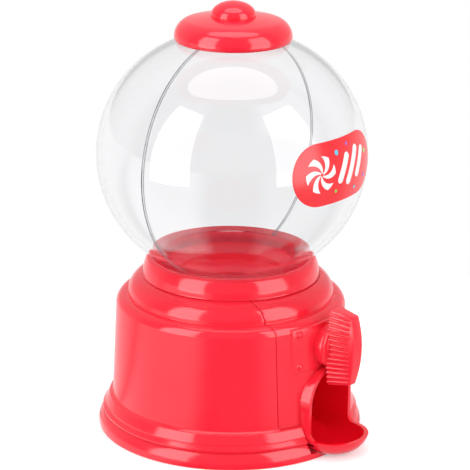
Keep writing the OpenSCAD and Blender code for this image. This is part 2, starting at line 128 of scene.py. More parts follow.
@dataclass(frozen=True)
class Nodes:
    """A small writer for a node tree."""

    tree: bpy.types.NodeTree

    def feed(self, node: Node, inputs: dict[str | int, object]) -> None:
        """Links or sets inputs of a node.

        Args:
            node: the node.
            inputs: a socket to link or a value to set, by the input's name or place.
        """
        for key, value in inputs.items():
            if isinstance(value, Socket):
                self.tree.links.new(value, node.inputs[key])
            else:
                node.inputs[key].default_value = value

    def add(
        self, kind: str, inputs: dict[str | int, object] | None = None, **values: object
    ) -> Node:
        """Adds a node.

        Args:
            kind: the node's class name after ShaderNode.
            inputs: sockets and values for its inputs.
            values: attributes to set on it.

        Returns:
            The new node.
        """
        node = self.tree.nodes.new(f"ShaderNode{kind}")
        for key, value in values.items():
            setattr(node, key, value)
        self.feed(node, inputs or {})
        return node

    def noise(self, scale: float, detail: float = 2.0) -> Socket:
        """A noise on Object coordinates, by its cells per metre and its octaves."""
        inputs = {"Vector": self.add("TexCoord").outputs["Object"], "Scale": scale}
        return self.add("TexNoise", inputs | {"Detail": detail}).outputs["Fac"]

    def spread(self, value: Socket, low: float, high: float) -> Socket:
        """Maps the middle of a noise to a range."""
        inputs = {"Value": value, "From Min": 0.3, "From Max": 0.7, "To Min": low, "To Max": high}
        return self.add("MapRange", inputs).outputs["Result"]

    def step(
        self, value: Socket, low: float, high: float, top: Socket | float, bottom: float = 0.0
    ) -> Socket:
        """A smooth rise from a bottom to a top.

        Args:
            value: the value that it follows.
            low: where the value starts the rise.
            high: where the value ends it.
            top: the result above it.
            bottom: the result below it.

        Returns:
            The result's socket.
        """
        inputs = {
            "Value": value, "From Min": low, "From Max": high, "To Min": bottom, "To Max": top
        }
        return self.add("MapRange", inputs, interpolation_type="SMOOTHSTEP").outputs["Result"]

    def tint(self, value: Socket, first: Colour, second: Colour) -> Socket:
        """Blends two linear colours by a noise."""
        inputs = {0: self.spread(value, 0.0, 1.0), 6: (*first, 1.0), 7: (*second, 1.0)}
        return self.add("Mix", inputs, data_type="RGBA").outputs[2]

    def blend(self, share: Socket, first: Socket | float, second: Socket | float) -> Socket:
        """Blends two values by a share of the second."""
        return self.add("Mix", {0: share, 2: first, 3: second}).outputs[0]

    def bump(self, value: Socket, strength: float, depth: float) -> Socket:
        """A normal from a height, by the share that is used and the depth in metres."""
        inputs = {"Height": value, "Strength": strength, "Distance": depth}
        return self.add("Bump", inputs).outputs["Normal"]

    def maths(self, kind: str, *values: Socket | float) -> Socket:
        """Joins values by a kind of sum."""
        return self.add("Math", dict(enumerate(values)), operation=kind).outputs["Value"]

    def dot(self, place: Socket, toward: Vector) -> Socket:
        """How far a place lies in a direction."""
        inputs = {0: place, 1: toward}
        return self.add("VectorMath", inputs, operation="DOT_PRODUCT").outputs["Value"]

    def glow(self, strength: Socket | float = 1.0) -> Socket:
        """A white emission."""
        return self.add("Emission", {"Strength": strength}).outputs["Emission"]

    def mix(self, share: Socket | float, first: Socket, second: Socket) -> Socket:
        """Mixes two shaders by a share of the second."""
        return self.add("MixShader", {"Fac": share, 1: first, 2: second}).outputs["Shader"]


def new_material(name: str) -> tuple[Material, Nodes, Node]:
    """Starts a material with one Principled shader.

    Args:
        name: the material's name.

    Returns:
        The material, its node writer and the Principled node.
    """
    material = bpy.data.materials.new(name)
    material.use_nodes = True
    nodes = Nodes(material.node_tree)
    return material, nodes, nodes.tree.nodes["Principled BSDF"]


@dataclass(frozen=True)
class Finish:
    """A finish of two close tones, with an uneven gloss and a faint relief.

    Each noise is its cells per metre and its octaves, and the relief its strength and its
    depth in metres. Where no deep tone is given, it is the colour times the shade.
    """

    name: str
    colour: Colour = (0.9, 0.9, 0.9)
    deep: Colour | None = None
    shade: float = 1.0
    tone_noise: Pair = (60.0, 3.0)
    gloss_noise: Pair | None = None
    gloss: Pair = (0.5, 0.5)
    relief_noise: Pair | None = None
    relief: Pair = (0.0, 0.0)
    metal: float = 0.0
    clear: float = 0.0
    ior: float = 1.5

    def surface(self, nodes: Nodes, shader: Socket) -> Socket:
        """The shader that the finish shows."""
        return shader

    def make(self) -> Material:
        """Builds the material.

        Returns:
            The material.
        """
        material, nodes, shader = new_material(self.name)
        deep = self.deep or tuple(self.shade * part for part in self.colour)
        inputs = {
            "Base Color": nodes.tint(nodes.noise(*self.tone_noise), deep, self.colour),
            "Roughness": self.gloss[0],
            "Metallic": self.metal,
            "IOR": self.ior,
            "Transmission Weight": self.clear,
        }
        if self.gloss_noise:
            inputs["Roughness"] = nodes.spread(nodes.noise(*self.gloss_noise), *self.gloss)
        if self.relief_noise:
            inputs["Normal"] = nodes.bump(nodes.noise(*self.relief_noise), *self.relief)
        nodes.feed(shader, inputs)
        shown = self.surface(nodes, shader.outputs["BSDF"])
        nodes.feed(nodes.tree.nodes["Material Output"], {"Surface": shown})
        return material


@dataclass(frozen=True)
class MouldedPlastic(Finish):
    """Glossy opaque plastic with faint flow marks and a slightly wavy skin."""

    colour: Colour = (0.90, 0.021, 0.045)
    deep: Colour | None = (0.87, 0.017, 0.038)
    gloss_noise: Pair | None = (420.0, 4.0)
    gloss: Pair = (0.10, 0.17)
    relief_noise: Pair | None = (150.0, 1.0)
    relief: Pair = (0.12, 0.0002)


@dataclass(frozen=True)
class ClearPlastic(Finish):
    """Clear moulded plastic that lets lamps reach what is behind it."""

    colour: Colour = (0.972, 0.973, 0.98)
    deep: Colour | None = (0.962, 0.963, 0.97)
    tone_noise: Pair = (25.0, 2.0)
    gloss_noise: Pair | None = (90.0, 2.0)
    gloss: Pair = (0.0, 0.02)
    relief_noise: Pair | None = (30.0, 1.0)
    relief: Pair = (0.02, 0.0003)
    clear: float = 1.0
    ior: float = 1.49

    def surface(self, nodes: Nodes, shader: Socket) -> Socket:
        """Lets shadow rays straight through."""
        shadow = nodes.add("LightPath").outputs["Is Shadow Ray"]
        return nodes.mix(shadow, shader, nodes.add("BsdfTransparent").outputs["BSDF"])


@dataclass(frozen=True)
class JointFace(Finish):
    """A face inside the clear plastic, which lets the view pass straight through.

    The milk is the share of it that is opaque, and the veil is what is left of the light
    through the rest.
    """

    colour: Colour = (0.70, 0.69, 0.72)
    deep: Colour | None = (0.55, 0.54, 0.58)
    tone_noise: Pair = (300.0, 2.0)
    veil: float = 0.93
    milk: float = 0.06

    def surface(self, nodes: Nodes, shader: Socket) -> Socket:
        """Mixes a little of the shader into a see-through one."""
        veil = nodes.add("BsdfTransparent", {"Color": (self.veil, self.veil, self.veil, 1)})
        return nodes.mix(self.milk, veil.outputs["BSDF"], shader)


@dataclass(frozen=True)
class PrintedFilm(Finish):
    """A smooth printed film in one ink with a faint grain of the print."""

    shade: float = 0.93
    tone_noise: Pair = (1800.0, 3.0)
    gloss_noise: Pair | None = (700.0, 2.0)
    gloss: Pair = (0.18, 0.26)


@dataclass(frozen=True)
class ZincSteel(Finish):
    """Bright zinc-plated steel with fine turning marks."""

    colour: Colour = (0.62, 0.63, 0.65)
    shade: float = 0.82
    tone_noise: Pair = (900.0, 4.0)
    gloss_noise: Pair | None = (2400.0, 3.0)
    gloss: Pair = (0.22, 0.38)
    relief_noise: Pair | None = (3000.0, 2.0)
    relief: Pair = (0.15, 0.00005)
    metal: float = 1.0


@dataclass(frozen=True)
class WhiteFloor:
    """A white floor with the shadow on it, darker towards the viewer in mirrors.

    Mirrors show it bright away from the viewer and in a patch on each side, where the
    light comes from. The patches start and are full at a share of a side's direction.
    """

    front: Vector
    left: Vector
    right: Vector
    name: str = "white_floor"
    lift: float = 0.35
    near: float = 0.08
    far: float = 0.17
    away_range: Pair = (-0.2, 0.4)
    side_range: Pair = (0.72, 0.92)
    left_mirror: float = 1.3
    right_mirror: float = 0.6

    def mirrored(self, nodes: Nodes, place: Socket) -> Socket:
        """The light that mirrors see at a place on the floor.

        Args:
            nodes: the material's node writer.
            place: the place's socket.

        Returns:
            The light's socket.
        """
        side = nodes.add("VectorMath", {0: place}, operation="NORMALIZE").outputs["Vector"]
        away = nodes.step(nodes.dot(side, -self.front), *self.away_range, 1.0)
        left = nodes.step(nodes.dot(side, self.left), *self.side_range, self.left_mirror)
        right = nodes.step(nodes.dot(side, self.right), *self.side_range, self.right_mirror)
        return nodes.maths("MAXIMUM", nodes.maths("MAXIMUM", away, left), right)

    def make(self) -> Material:
        """Builds the material.

        Returns:
            The material.
        """
        material, nodes, shader = new_material(self.name)
        tone = nodes.tint(nodes.noise(6.0), (0.84, 0.84, 0.84), (0.86, 0.86, 0.86))
        nodes.feed(shader, {"Base Color": tone, "Roughness": 0.6, "Specular IOR Level": 0.0})
        place = nodes.add("TexCoord").outputs["Object"]
        path = nodes.add("LightPath").outputs
        seen = nodes.maths("MAXIMUM", path["Is Camera Ray"], path["Is Transmission Ray"])
        glow = nodes.glow(nodes.maths("MULTIPLY", seen, self.lift))
        lifted = nodes.add("AddShader", {0: shader.outputs["BSDF"], 1: glow}).outputs["Shader"]
        away = nodes.add("VectorMath", {0: place}, operation="LENGTH").outputs["Value"]
        outer = nodes.maths("MULTIPLY", nodes.step(away, self.near, self.far, 1.0), seen)
        direct = nodes.mix(outer, lifted, nodes.glow())
        shown = nodes.mix(path["Is Glossy Ray"], direct, nodes.glow(self.mirrored(nodes, place)))
        nodes.feed(nodes.tree.nodes["Material Output"], {"Surface": shown})
        return material


# ---------------------------------------------------------------- outlines and meshes


def arc(x: float, y: float, r: float, start: float, end: float, steps: int = 16) -> list[Pair]:
    """Points along an arc.

    Args:
        x: centre, first coordinate.
        y: centre, second coordinate.
        r: radius.
        start: first angle.
        end: last angle.
        steps: number of chords.

    Returns:
        The points, with both ends.
    """
    angles = [math.radians(start + (end - start) * i / steps) for i in range(steps + 1)]
    return [(x + r * math.cos(a), y + r * math.sin(a)) for a in angles]


def rect(x0: float, y0: float, x1: float, y1: float) -> list[Pair]:
    """The corners of a rectangle."""
    return [(x0, y0), (x1, y0), (x1, y1), (x0, y1)]


def around(r: float, turn: float) -> Vector:
    """The point at a radius and an angle from the front towards +X."""
    a = math.radians(turn)
    return Vector((r * math.sin(a), -r * math.cos(a), 0))


def rounded(corners: Sequence[Corner], steps: int = 5) -> list[Pair]:
    """Rounds the corners of a closed outline.

    Args:
        corners: x, y and the rounding radius of each corner, or 0 to leave it.
        steps: chords of each rounding.

    Returns:
        The outline's points.
    """
    points: list[Pair] = []
    count = len(corners)
    for i, (x, y, r) in enumerate(corners):
        here = Vector((x, y))
        back = Vector(corners[i - 1][:2]) - here
        ahead = Vector(corners[(i + 1) % count][:2]) - here
        half = back.angle(ahead) / 2
        if r <= 0 or half > math.radians(88):
            points.append((x, y))
            continue
        reach = min(r / math.tan(half), back.length * 0.49, ahead.length * 0.49)
        inward = (back.normalized() + ahead.normalized()).normalized()
        middle = here + inward * (reach * math.tan(half) / math.sin(half))
        first = here + back.normalized() * reach - middle
        last = here + ahead.normalized() * reach - middle
        for k in range(steps + 1):
            points.append(tuple(middle + first.slerp(last, k / steps)))
    return points


class Moulding:
    """One piece, or one tool that shapes a piece, in millimetres."""

    def __init__(self, name: str = "tool") -> None:
        """Starts an empty piece of that name."""
        self.name = name
        self.bm = bmesh.new()

    def take(self, part: bmesh.types.BMesh) -> Moulding:
        """Adds a bmesh to this piece and frees it.

        Args:
            part: the bmesh.

        Returns:
            This piece.
        """
        mesh = bpy.data.meshes.new("part")
        part.to_mesh(mesh)
        part.free()
        self.bm.from_mesh(mesh)
        bpy.data.meshes.remove(mesh)
        return self

    def revolve(
        self,
        outline: Sequence[Pair],
        steps: int = FULL_STEPS,
        centre: Vector = ORIGIN,
        axis: Axis = Axis.UP,
    ) -> Moulding:
        """Spins a closed outline right round an axis.

        Args:
            outline: radius and distance along the axis of each point.
            steps: number of faces round.
            centre: a point on the axis.
            axis: the axis.

        Returns:
            This piece.
        """
        part = bmesh.new()
        along = Vector((0, 0, 1)) if axis is Axis.UP else Vector((0, 1, 0))
        verts = [part.verts.new(Vector((r, 0, 0)) + along * h) for r, h in outline]
        edges = [part.edges.new((verts[i - 1], verts[i])) for i in range(len(verts))]
        bmesh.ops.spin(
            part, geom=verts + edges, cent=ORIGIN, axis=along, angle=math.tau, steps=steps,
            use_merge=True, use_duplicate=False,
        )
        bmesh.ops.remove_doubles(part, verts=part.verts, dist=ON_PLANE)
        bmesh.ops.recalc_face_normals(part, faces=part.faces)
        bmesh.ops.translate(part, verts=part.verts, vec=centre)
        return self.take(part)

    def prism(
        self, outline: Sequence[Pair], start: float, end: float, plane: Plane = Plane.XZ
    ) -> Moulding:
        """Extrudes a closed outline.

        Args:
            outline: the points on the plane.
            start: first place along the axis off the plane.
            end: last place along it.
            plane: the plane.

        Returns:
            This piece.
        """

        def place(a: float, b: float, c: float) -> Vector:
            """The point at a and b on the plane and at c off it."""
            point = dict(zip(plane.value, (a, b, c)))
            return Vector((point[0], point[1], point[2]))

        part = bmesh.new()
        face = part.faces.new([part.verts.new(place(a, b, start)) for a, b in outline])
        moved = bmesh.ops.extrude_face_region(part, geom=[face])["geom"]
        moved = [g for g in moved if isinstance(g, bmesh.types.BMVert)]
        bmesh.ops.translate(part, verts=moved, vec=place(0, 0, end) - place(0, 0, start))
        bmesh.ops.recalc_face_normals(part, faces=part.faces)
        return self.take(part)

    def rod(
        self,
        r: float,
        low: float,
        high: float,
        steps: int = FULL_STEPS,
        centre: Vector = ORIGIN,
        axis: Axis = Axis.UP,
    ) -> Moulding:
        """Adds a cylinder between two places along its axis."""
        return self.revolve(rect(0, low, r, high), steps, centre, axis)

    def ball(self, radius: float, centre: Vector) -> Moulding:
        """Adds a ball.

        Args:
            radius: its radius.
            centre: its middle.

        Returns:
            This piece.
        """
        place = Matrix.Translation(centre)
        bmesh.ops.create_uvsphere(
            self.bm, u_segments=32, v_segments=20, radius=radius, matrix=place
        )
        return self

    def spin(self, turn: float, axis: Axis = Axis.UP) -> Moulding:
        """Turns the piece round an axis through the origin.

        Args:
            turn: the angle.
            axis: the axis.

        Returns:
            This piece.
        """
        matrix = Matrix.Rotation(math.radians(turn), 3, axis.value)
        bmesh.ops.rotate(self.bm, verts=self.bm.verts, cent=ORIGIN, matrix=matrix)
        return self

    def move(self, by: Sequence[float]) -> Moulding:
        """Moves the piece and returns it."""
        bmesh.ops.translate(self.bm, verts=self.bm.verts, vec=by)
        return self

    def cross(self, point: Sequence[float], normal: Sequence[float], **how: object) -> list:
        """Divides the piece on a plane.

        Args:
            point: a point of the plane.
            normal: the plane's normal.
            how: settings of the division.

        Returns:
            What lies on the plane.
        """
        geom = self.bm.verts[:] + self.bm.edges[:] + self.bm.faces[:]
        return bmesh.ops.bisect_plane(
            self.bm, geom=geom, plane_co=point, plane_no=normal, **how
        )["geom_cut"]

    def slice_off(self, point: Sequence[float], normal: Sequence[float]) -> Moulding:
        """Cuts the piece on a plane, drops the side the normal points to and caps the cut.

        Args:
            point: a point of the plane.
            normal: points to the side that goes.

        Returns:
            This piece.
        """
        cut = self.cross(point, normal, dist=ON_PLANE, clear_outer=True)
        edges = [g for g in cut if isinstance(g, bmesh.types.BMEdge) and g.is_boundary]
        if edges:
            bmesh.ops.holes_fill(self.bm, edges=edges, sides=0)
        bmesh.ops.recalc_face_normals(self.bm, faces=self.bm.faces)
        return self

    def keep_front(self, half: float, depth: float) -> Moulding:
        """Keeps what is within half of the middle and further forward than a depth.

        Args:
            half: half the width that stays.
            depth: distance of the back cut in front of the axis.

        Returns:
            This piece.
        """
        self.slice_off((half, 0, 0), (1, 0, 0))
        self.slice_off((-half, 0, 0), (-1, 0, 0))
        return self.slice_off((0, -depth, 0), (0, 1, 0))

    def combine(self, kind: Cut, *tools: Moulding) -> Moulding:
        """Joins, removes or keeps the overlap with closed pieces, one after another.

        Args:
            kind: what to do with them.
            tools: the other pieces, which are used up.

        Returns:
            This piece.
        """
        for tool in tools:
            pair = [bpy.data.objects.new("part", piece.mesh()) for piece in (self, tool)]
            for item in pair:
                bpy.context.scene.collection.objects.link(item)
            cut = pair[0].modifiers.new("cut", "BOOLEAN")
            cut.operation = kind.value
            cut.solver = "EXACT"
            cut.object = pair[1]
            graph = bpy.context.evaluated_depsgraph_get()
            mesh = bpy.data.meshes.new_from_object(pair[0].evaluated_get(graph))
            self.bm.clear()
            self.bm.from_mesh(mesh)
            for used in (pair[0].data, pair[1].data, mesh):
                bpy.data.meshes.remove(used)
            tool.bm.free()
        return self

    def tidy(self, merge: float = MERGE) -> Moulding:
        """Merges points that lie together and joins faces of one plane.

        Args:
            merge: the distance within which points merge.

        Returns:
            This piece.
        """
        bmesh.ops.remove_doubles(self.bm, verts=self.bm.verts, dist=merge)
        bmesh.ops.dissolve_limit(
            self.bm, angle_limit=math.radians(FLAT), verts=self.bm.verts, edges=self.bm.edges
        )
        bmesh.ops.dissolve_degenerate(self.bm, edges=self.bm.edges, dist=merge)
        return self

    def soften(
        self,
        width: float,
        where: Callable[[Vector], bool],
        angle: float = 35.0,
        segments: int = 3,
    ) -> Moulding:
        """Bevels the sharp edges whose middle passes a test.

        Args:
            width: width of the bevel.
            where: takes the middle of an edge and says if it is bevelled.
            angle: the least turn of a sharp edge.
            segments: faces across the bevel.

        Returns:
            This piece.
        """
        limit = math.radians(angle)
        chosen = [
            e
            for e in self.bm.edges
            if len(e.link_faces) == 2
            and e.calc_face_angle(0.0) > limit
            and where((e.verts[0].co + e.verts[1].co) / 2)
        ]
        if chosen:
            bmesh.ops.bevel(
                self.bm, geom=chosen, offset=width, offset_type="OFFSET", segments=segments,
                profile=0.5, affect="EDGES", clamp_overlap=True, material=-1,
            )
        return self

    def mesh(self) -> bpy.types.Mesh:
        """Writes the piece to a mesh.

        Returns:
            The new mesh.
        """
        mesh = bpy.data.meshes.new(self.name)
        self.bm.to_mesh(mesh)
        return mesh

    def finish(
        self,
        material: Material,
        body: Body,
        slot: Slot,
        replaces: Sequence[str] = (),
        sharp: float = 38.0,
        extra: Sequence[Material] = (),
    ) -> None:
        """Turns the piece into an object that rides on its body.

        Args:
            material: its finish.
            body: the body it rides on.
            slot: the record's slot; not used.
            replaces: the frame's nodes that it stands for.
            sharp: edges that turn more than this stay sharp.
            extra: finishes of the faces marked 1, 2 and so on.
        """
        bmesh.ops.scale(self.bm, vec=(MM, MM, MM), verts=self.bm.verts)
        mesh = self.mesh()
        self.bm.free()
        for finish in (material, *extra):
            mesh.materials.append(finish)
        for face in mesh.polygons:
            face.use_smooth = True
        mesh.set_sharp_from_angle(angle=math.radians(sharp))
        item = bpy.data.objects.new(self.name, mesh)
        bpy.context.scene.collection.objects.link(item)
        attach(item, body.value)
        if replaces:
            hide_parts(*replaces)
        LOG.info("piece %s: %d faces", self.name, len(mesh.polygons))


# ---------------------------------------------------------------- the machine


@dataclass(frozen=True)
class BaseForm:
    """Sizes that the pieces of the base share."""

    foot_r: float = 40.5
    foot_h: float = 9.9
    floor_t: float = 1.8
    wall_bottom_r: float = 36.2
    wall_top_r: float = 35.0
    wall: float = 1.8
    ledge_z: float = 7.2
    shoulder_z: float = 38.8
    shoulder_round: float = 3.2
    step_r: float = 31.4
    step_top: float = 48.2
    step_round: float = 6.0
    collar_r: float = 26.8
    collar_top: float = 54.0
    collar_round: float = 1.6
    collar_bow: float = 10.0
    bow_rise: float = 0.3
    crease: float = 0.2
    cover_half: float = 17.8
    cover_screw_x: float = 14
    cover_screw_zs: Pair = (15, 31)
    seam: float = 0.25
    play: float = 0.3
    drive_z: float = 33.2
    drive_bore_r: float = 2.08
    housing_y: float = 11.0
    housing_low: float = 23.45
    tap_r: float = 1.25
    screw_gap_r: float = 1.35
    foot_ring_r: float = 31.8
    foot_turns: Sequence[float] = (45, 135, 225, 315)
    lug_ring_r: float = 24.8
    lug_turns: Sequence[float] = (-52, 52, 128, 232)

    @property
    def shoulder_top(self) -> float:
        """Height of the shoulder's top."""
        return self.shoulder_z + self.shoulder_round

    @property
    def foot_screws(self) -> list[Vector]:
        """Places of the foot's screws."""
        return [around(self.foot_ring_r, turn) for turn in self.foot_turns]

    def wall_at(self, z: float) -> float:
        """Outer radius of the wall at height z."""
        share = (z - self.foot_h) / (self.shoulder_z - self.foot_h)
        return self.wall_bottom_r + (self.wall_top_r - self.wall_bottom_r) * share


@dataclass(frozen=True)
class ChuteForm:
    """Sizes of the chute that its neighbours share."""

    mouth_half: float = 9.6
    wall: float = 1.3
    arch_z: float = 15.7
    mouth_y: float = 37.7
    bowl_out: float = 1.3
    lip_z: float = 5.7
    low_z: float = 0.3
    round_r: float = 7.4
    sweep: float = 2.2
    front_cut: float = 32.0
    back_y: float = 10.0
    slide_z: float = 14.0
    steps: int = 32

    @property
    def corner(self) -> float:
        """Inner rounding of the bottom corners."""
        return self.round_r - self.wall

    @property
    def flat_half(self) -> float:
        """Half the width of the flat bottom."""
        return self.mouth_half - self.corner

    def outline(self, t: float) -> list[Pair]:
        """The channel's section.

        Args:
            t: how far it is moved outwards.

        Returns:
            Its X and Z points.
        """
        z = self.low_z + self.round_r
        points = arc(0, self.arch_z, self.mouth_half + t, 0, 180, 2 * self.steps)
        points += arc(-self.flat_half, z, self.corner + t, 180, 270, self.steps)
        return points + arc(self.flat_half, z, self.corner + t, 270, 360, self.steps)

    def bowl(self, t: float, top: float) -> list[Pair]:
        """Half section of the scoop's bowl.

        Args:
            t: how far it is moved outwards.
            top: its height.

        Returns:
            The points.
        """
        z = self.low_z + self.round_r
        curve = arc(self.flat_half, z, self.corner + t, -90, 0, self.steps)
        low = self.low_z + self.wall - t
        return [(0.0, low), *curve, (self.mouth_half + t, top), (0.0, top)]


@dataclass
class Foot:
    """The foot ring with the floor plate."""

    finish: Material
    form: BaseForm
    chute: ChuteForm
    sink_r: float = 2.5
    sink_h: float = 2.2
    post_r: float = 3.6
    post_h: float = 5.2
    room_top: float = 20.0
    bead: float = 5.5
    bead_z: float = 0.7
    lip_gap: float = 0.45
    wall_gap: float = 0.4
    upstand_h: float = 1.3
    upstand_t: float = 1.4

    def outline(self) -> list[Pair]:
        """Half section of the ring and the floor.

        Returns:
            The outline's points.
        """
        f = self.form
        r, top = f.foot_r, f.foot_h
        lip = f.wall_bottom_r + self.lip_gap
        inner = f.wall_at(f.ledge_z) - f.wall - self.wall_gap
        outside = [(0.0, 0.0), (r - 0.6, 0.0)]
        outside += arc(r - self.bead, self.bead_z, self.bead, -5, 48, 16)
        groove = [
            (*outside[-1], 0),
            (r - 2.3, top - 4.75, 0.15),
            (r - 2.05, top - 4.45, 0.2),
            (r - 2.25, top - 3.2, 0),
        ]
        lip_top = arc(r - 4.25, top - 3.2, 2.0, 0, 30, 6)
        lip_top += arc(lip + 0.1, top - 0.5, 0.5, 30, 80, 5)
        inside = [
            (lip + 0.15, top, 0),
            (lip, top - 0.1, 0.05),
            (lip, f.ledge_z, 0.1),
            (inner, f.ledge_z, 0),
            (inner, top + self.upstand_h, 0.3),
            (inner - self.upstand_t, top + self.upstand_h, 0.3),
            (inner - self.upstand_t, f.floor_t, 0.5),
            (0.0, f.floor_t, 0),
        ]
        return outside + rounded(groove, 4)[1:-1] + lip_top + rounded(inside, 4)[1:]

    def build(self) -> None:
        """Builds the foot."""
        f, c = self.form, self.chute
        piece = Moulding("foot_ring").revolve(self.outline())
        posts = [Moulding().rod(self.post_r, 0.6, self.post_h, 48, at) for at in f.foot_screws]
        piece.combine(Cut.JOIN, *posts)
        sink = rounded(
            [
                (0, BELOW, 0),
                (self.sink_r, BELOW, 0),
                (self.sink_r, self.sink_h, 0.2),
                (f.screw_gap_r, self.sink_h, 0),
                (f.screw_gap_r, 9, 0),
                (0, 9, 0),
            ]
        )
        sinks = [Moulding().revolve(sink, 48, at) for at in f.foot_screws]
        out = c.mouth_half + c.wall + f.seam
        floor = f.floor_t + 0.02
        flat = rect(-c.flat_half, BELOW, c.flat_half, 3)
        cover_y = f.wall_at(f.ledge_z) - f.wall - 10
        ledge = (f.wall_bottom_r + 0.46, f.ledge_z + 0.05, self.room_top)
        piece.combine(
            Cut.REMOVE,
            *sinks,
            Moulding().prism(c.outline(c.wall + f.seam), IN_FRONT, -c.front_cut),
            Moulding().prism(flat, IN_FRONT, -c.front_cut + 0.01),
            Moulding().prism(rect(-out, floor, out, self.room_top), IN_FRONT, -cover_y),
            Moulding().rod(*ledge).keep_front(f.cover_half, cover_y),
        )
        piece.tidy().finish(self.finish, Body.MACHINE, Slot.RED, ["base_tray"])


@dataclass
class BodyShell:
    """The tapered wall, shoulder, middle step and collar, and the front cover let into them.

    Posts and lugs are given by their radius, their two ends and the roof of their bore.
    """

    finish: Material
    form: BaseForm
    chute: ChuteForm
    edge: float = 0.2
    collar_lip: Sequence[Corner] = ((24.1, 53.97, 0), (23.8, 53.8, 0.2), (21.95, 52.6, 0.2))
    neck_hole_r: float = 21.95
    neck_hole_z: float = 51.6
    flange_hole_r: float = 24.4
    post: Sequence[float] = (2.8, 5.2, 14.2, 12.6)
    lug: Sequence[float] = (2.2, 44.0, 47.3, 46.8)
    tab_y: float = 26.0
    tab_t: float = 1.6
    tab_x: float = 11.8
    tab_half: float = 3.0
    plate_half: float = 13.5
    plate_h: float = 13.6
    plate_t: float = 0.7
    bump_r: float = 1.1
    bump_in: Pair = (2.3, 1.9)
    bump_sunk: float = 0.45
    boss_r: float = 5.9
    boss_y: float = 38.4
    recess_r: float = 4.9
    recess: float = 1.6

    def steps_outline(self, top: float) -> list[Pair]:
        """Outside of the wall, shoulder and step, from the ledge up to a height on the step.

        Args:
            top: the height.

        Returns:
            The outline's points.
        """
        f = self.form
        turn = math.asin(min(1.0, (top - (f.step_top - f.step_round)) / f.step_round))
        return [
            (f.wall_at(f.ledge_z), f.ledge_z),
            *arc(f.wall_top_r - f.shoulder_round, f.shoulder_z, f.shoulder_round, 0, 88, 18),
            *arc(f.step_r + f.crease, f.shoulder_top + f.crease, f.crease, 270, 190, 4),
            *arc(
                f.step_r - f.step_round, f.step_top - f.step_round, f.step_round,
                0, math.degrees(turn), 18,
            ),
        ]

    def inside_outline(self) -> list[Pair]:
        """Inside of the step, shoulder and wall, from the top down to the ledge.

        Returns:
            The outline's points.
        """
        f = self.form
        t = f.wall
        return [
            *arc(f.step_r - f.step_round, f.step_top - f.step_round, f.step_round - t, 90, 0, 8),
            (f.step_r - t, f.shoulder_top - t),
            *arc(f.wall_top_r - f.shoulder_round, f.shoulder_z, f.shoulder_round - t, 90, 0, 8),
            (f.wall_at(f.ledge_z) - t, f.ledge_z),
        ]

    def collar_outline(self) -> list[Pair]:
        """Outside, rim and hole of the collar.

        Returns:
            The outline's points.
        """
        f = self.form
        reach = f.collar_bow - f.collar_round
        rise = f.collar_top - f.collar_round - f.step_top - f.bow_rise
        turn = math.degrees(math.asin(rise / reach))
        bow = f.collar_r - f.collar_bow
        rim = bow + math.sqrt(reach**2 - rise**2)
        hole = [
            *self.collar_lip,
            (self.neck_hole_r, self.neck_hole_z, 0),
            (self.flange_hole_r, self.neck_hole_z, 0),
            (self.flange_hole_r, f.step_top - f.wall, 0),
        ]
        return [
            *arc(f.collar_r + f.crease, f.step_top + f.crease, f.crease, 270, 190, 4),
            *arc(bow, f.step_top + f.bow_rise, f.collar_bow, 1, turn, 16),
            *arc(rim, f.collar_top - f.collar_round, f.collar_round, turn + 7, 88, 9),
            *rounded(hole, 3),
        ]

    def seam_edges(self, half: float) -> Callable[[Vector], bool]:
        """A test for the outer edges along the cover's upright seams."""
        reach = self.form.step_r - self.form.wall + 0.6
        return lambda p: p.y < 0 and abs(abs(p.x) - half) < 0.02 and math.hypot(p.x, p.y) > reach

    def shell(self) -> Moulding:
        """The shell with its collar, open at the front for the cover.

        Returns:
            The shell.
        """
        f = self.form
        half = f.cover_half + f.seam / 2
        outline = self.steps_outline(f.step_top) + self.collar_outline() + self.inside_outline()
        piece = Moulding("body_shell_skin").revolve(outline)
        opening = Moulding().prism(rect(-half, 0, half, f.step_top + 0.02), IN_FRONT, 0)
        opening.combine(Cut.REMOVE, Moulding().rod(f.collar_r, BELOW, 60))
        low = rect(-half, 0, half, f.step_top - 2.4)
        return piece.combine(Cut.REMOVE, opening, Moulding().prism(low, -f.collar_r - 1, 0))

    def blind_post(self, r: float, low: float, high: float, roof: float, at: Vector) -> Moulding:
        """An upright post that is bored from below.

        Args:
            r: its radius.
            low: its lower end.
            high: its upper end.
            roof: the bore's end.
            at: its place.

        Returns:
            The post.
        """
        bore = self.form.tap_r
        outline = [(bore, low), (r, low), (r, high), (0, high), (0, roof), (bore, roof)]
        return Moulding().revolve(outline, 40, at)

    def add_posts(self, piece: Moulding) -> None:
        """Adds the screw posts and the cover's tabs inside the shell.

        Args:
            piece: the shell.
        """
        f = self.form
        posts = [self.blind_post(*self.post, at) for at in f.foot_screws]
        posts += [self.blind_post(*self.lug, around(f.lug_ring_r, turn)) for turn in f.lug_turns]
        piece.combine(Cut.JOIN, *posts)
        for side in (-1, 1):
            for z in f.cover_screw_zs:
                reach = math.sqrt((f.wall_at(z) - f.wall) ** 2 - self.tab_y**2) + 1.0
                tab = rect(side * self.tab_x, z - self.tab_half, side * reach, z + self.tab_half)
                tab = Moulding().prism(tab, -self.tab_y, self.tab_t - self.tab_y)
                piece.combine(Cut.JOIN, tab)
                at = Vector((side * f.cover_screw_x, 0, z))
                bore = Moulding().rod(f.screw_gap_r, -30, -20, 32, at, Axis.BACK)
                piece.combine(Cut.REMOVE, bore)

    def build(self) -> None:
        """Builds the shell."""
        f = self.form
        piece = self.shell().tidy()
        piece.soften(self.edge, self.seam_edges(f.cover_half + f.seam / 2), segments=2)
        self.add_posts(piece)
        piece.tidy().finish(self.finish, Body.MACHINE, Slot.RED, ["body_shell"])

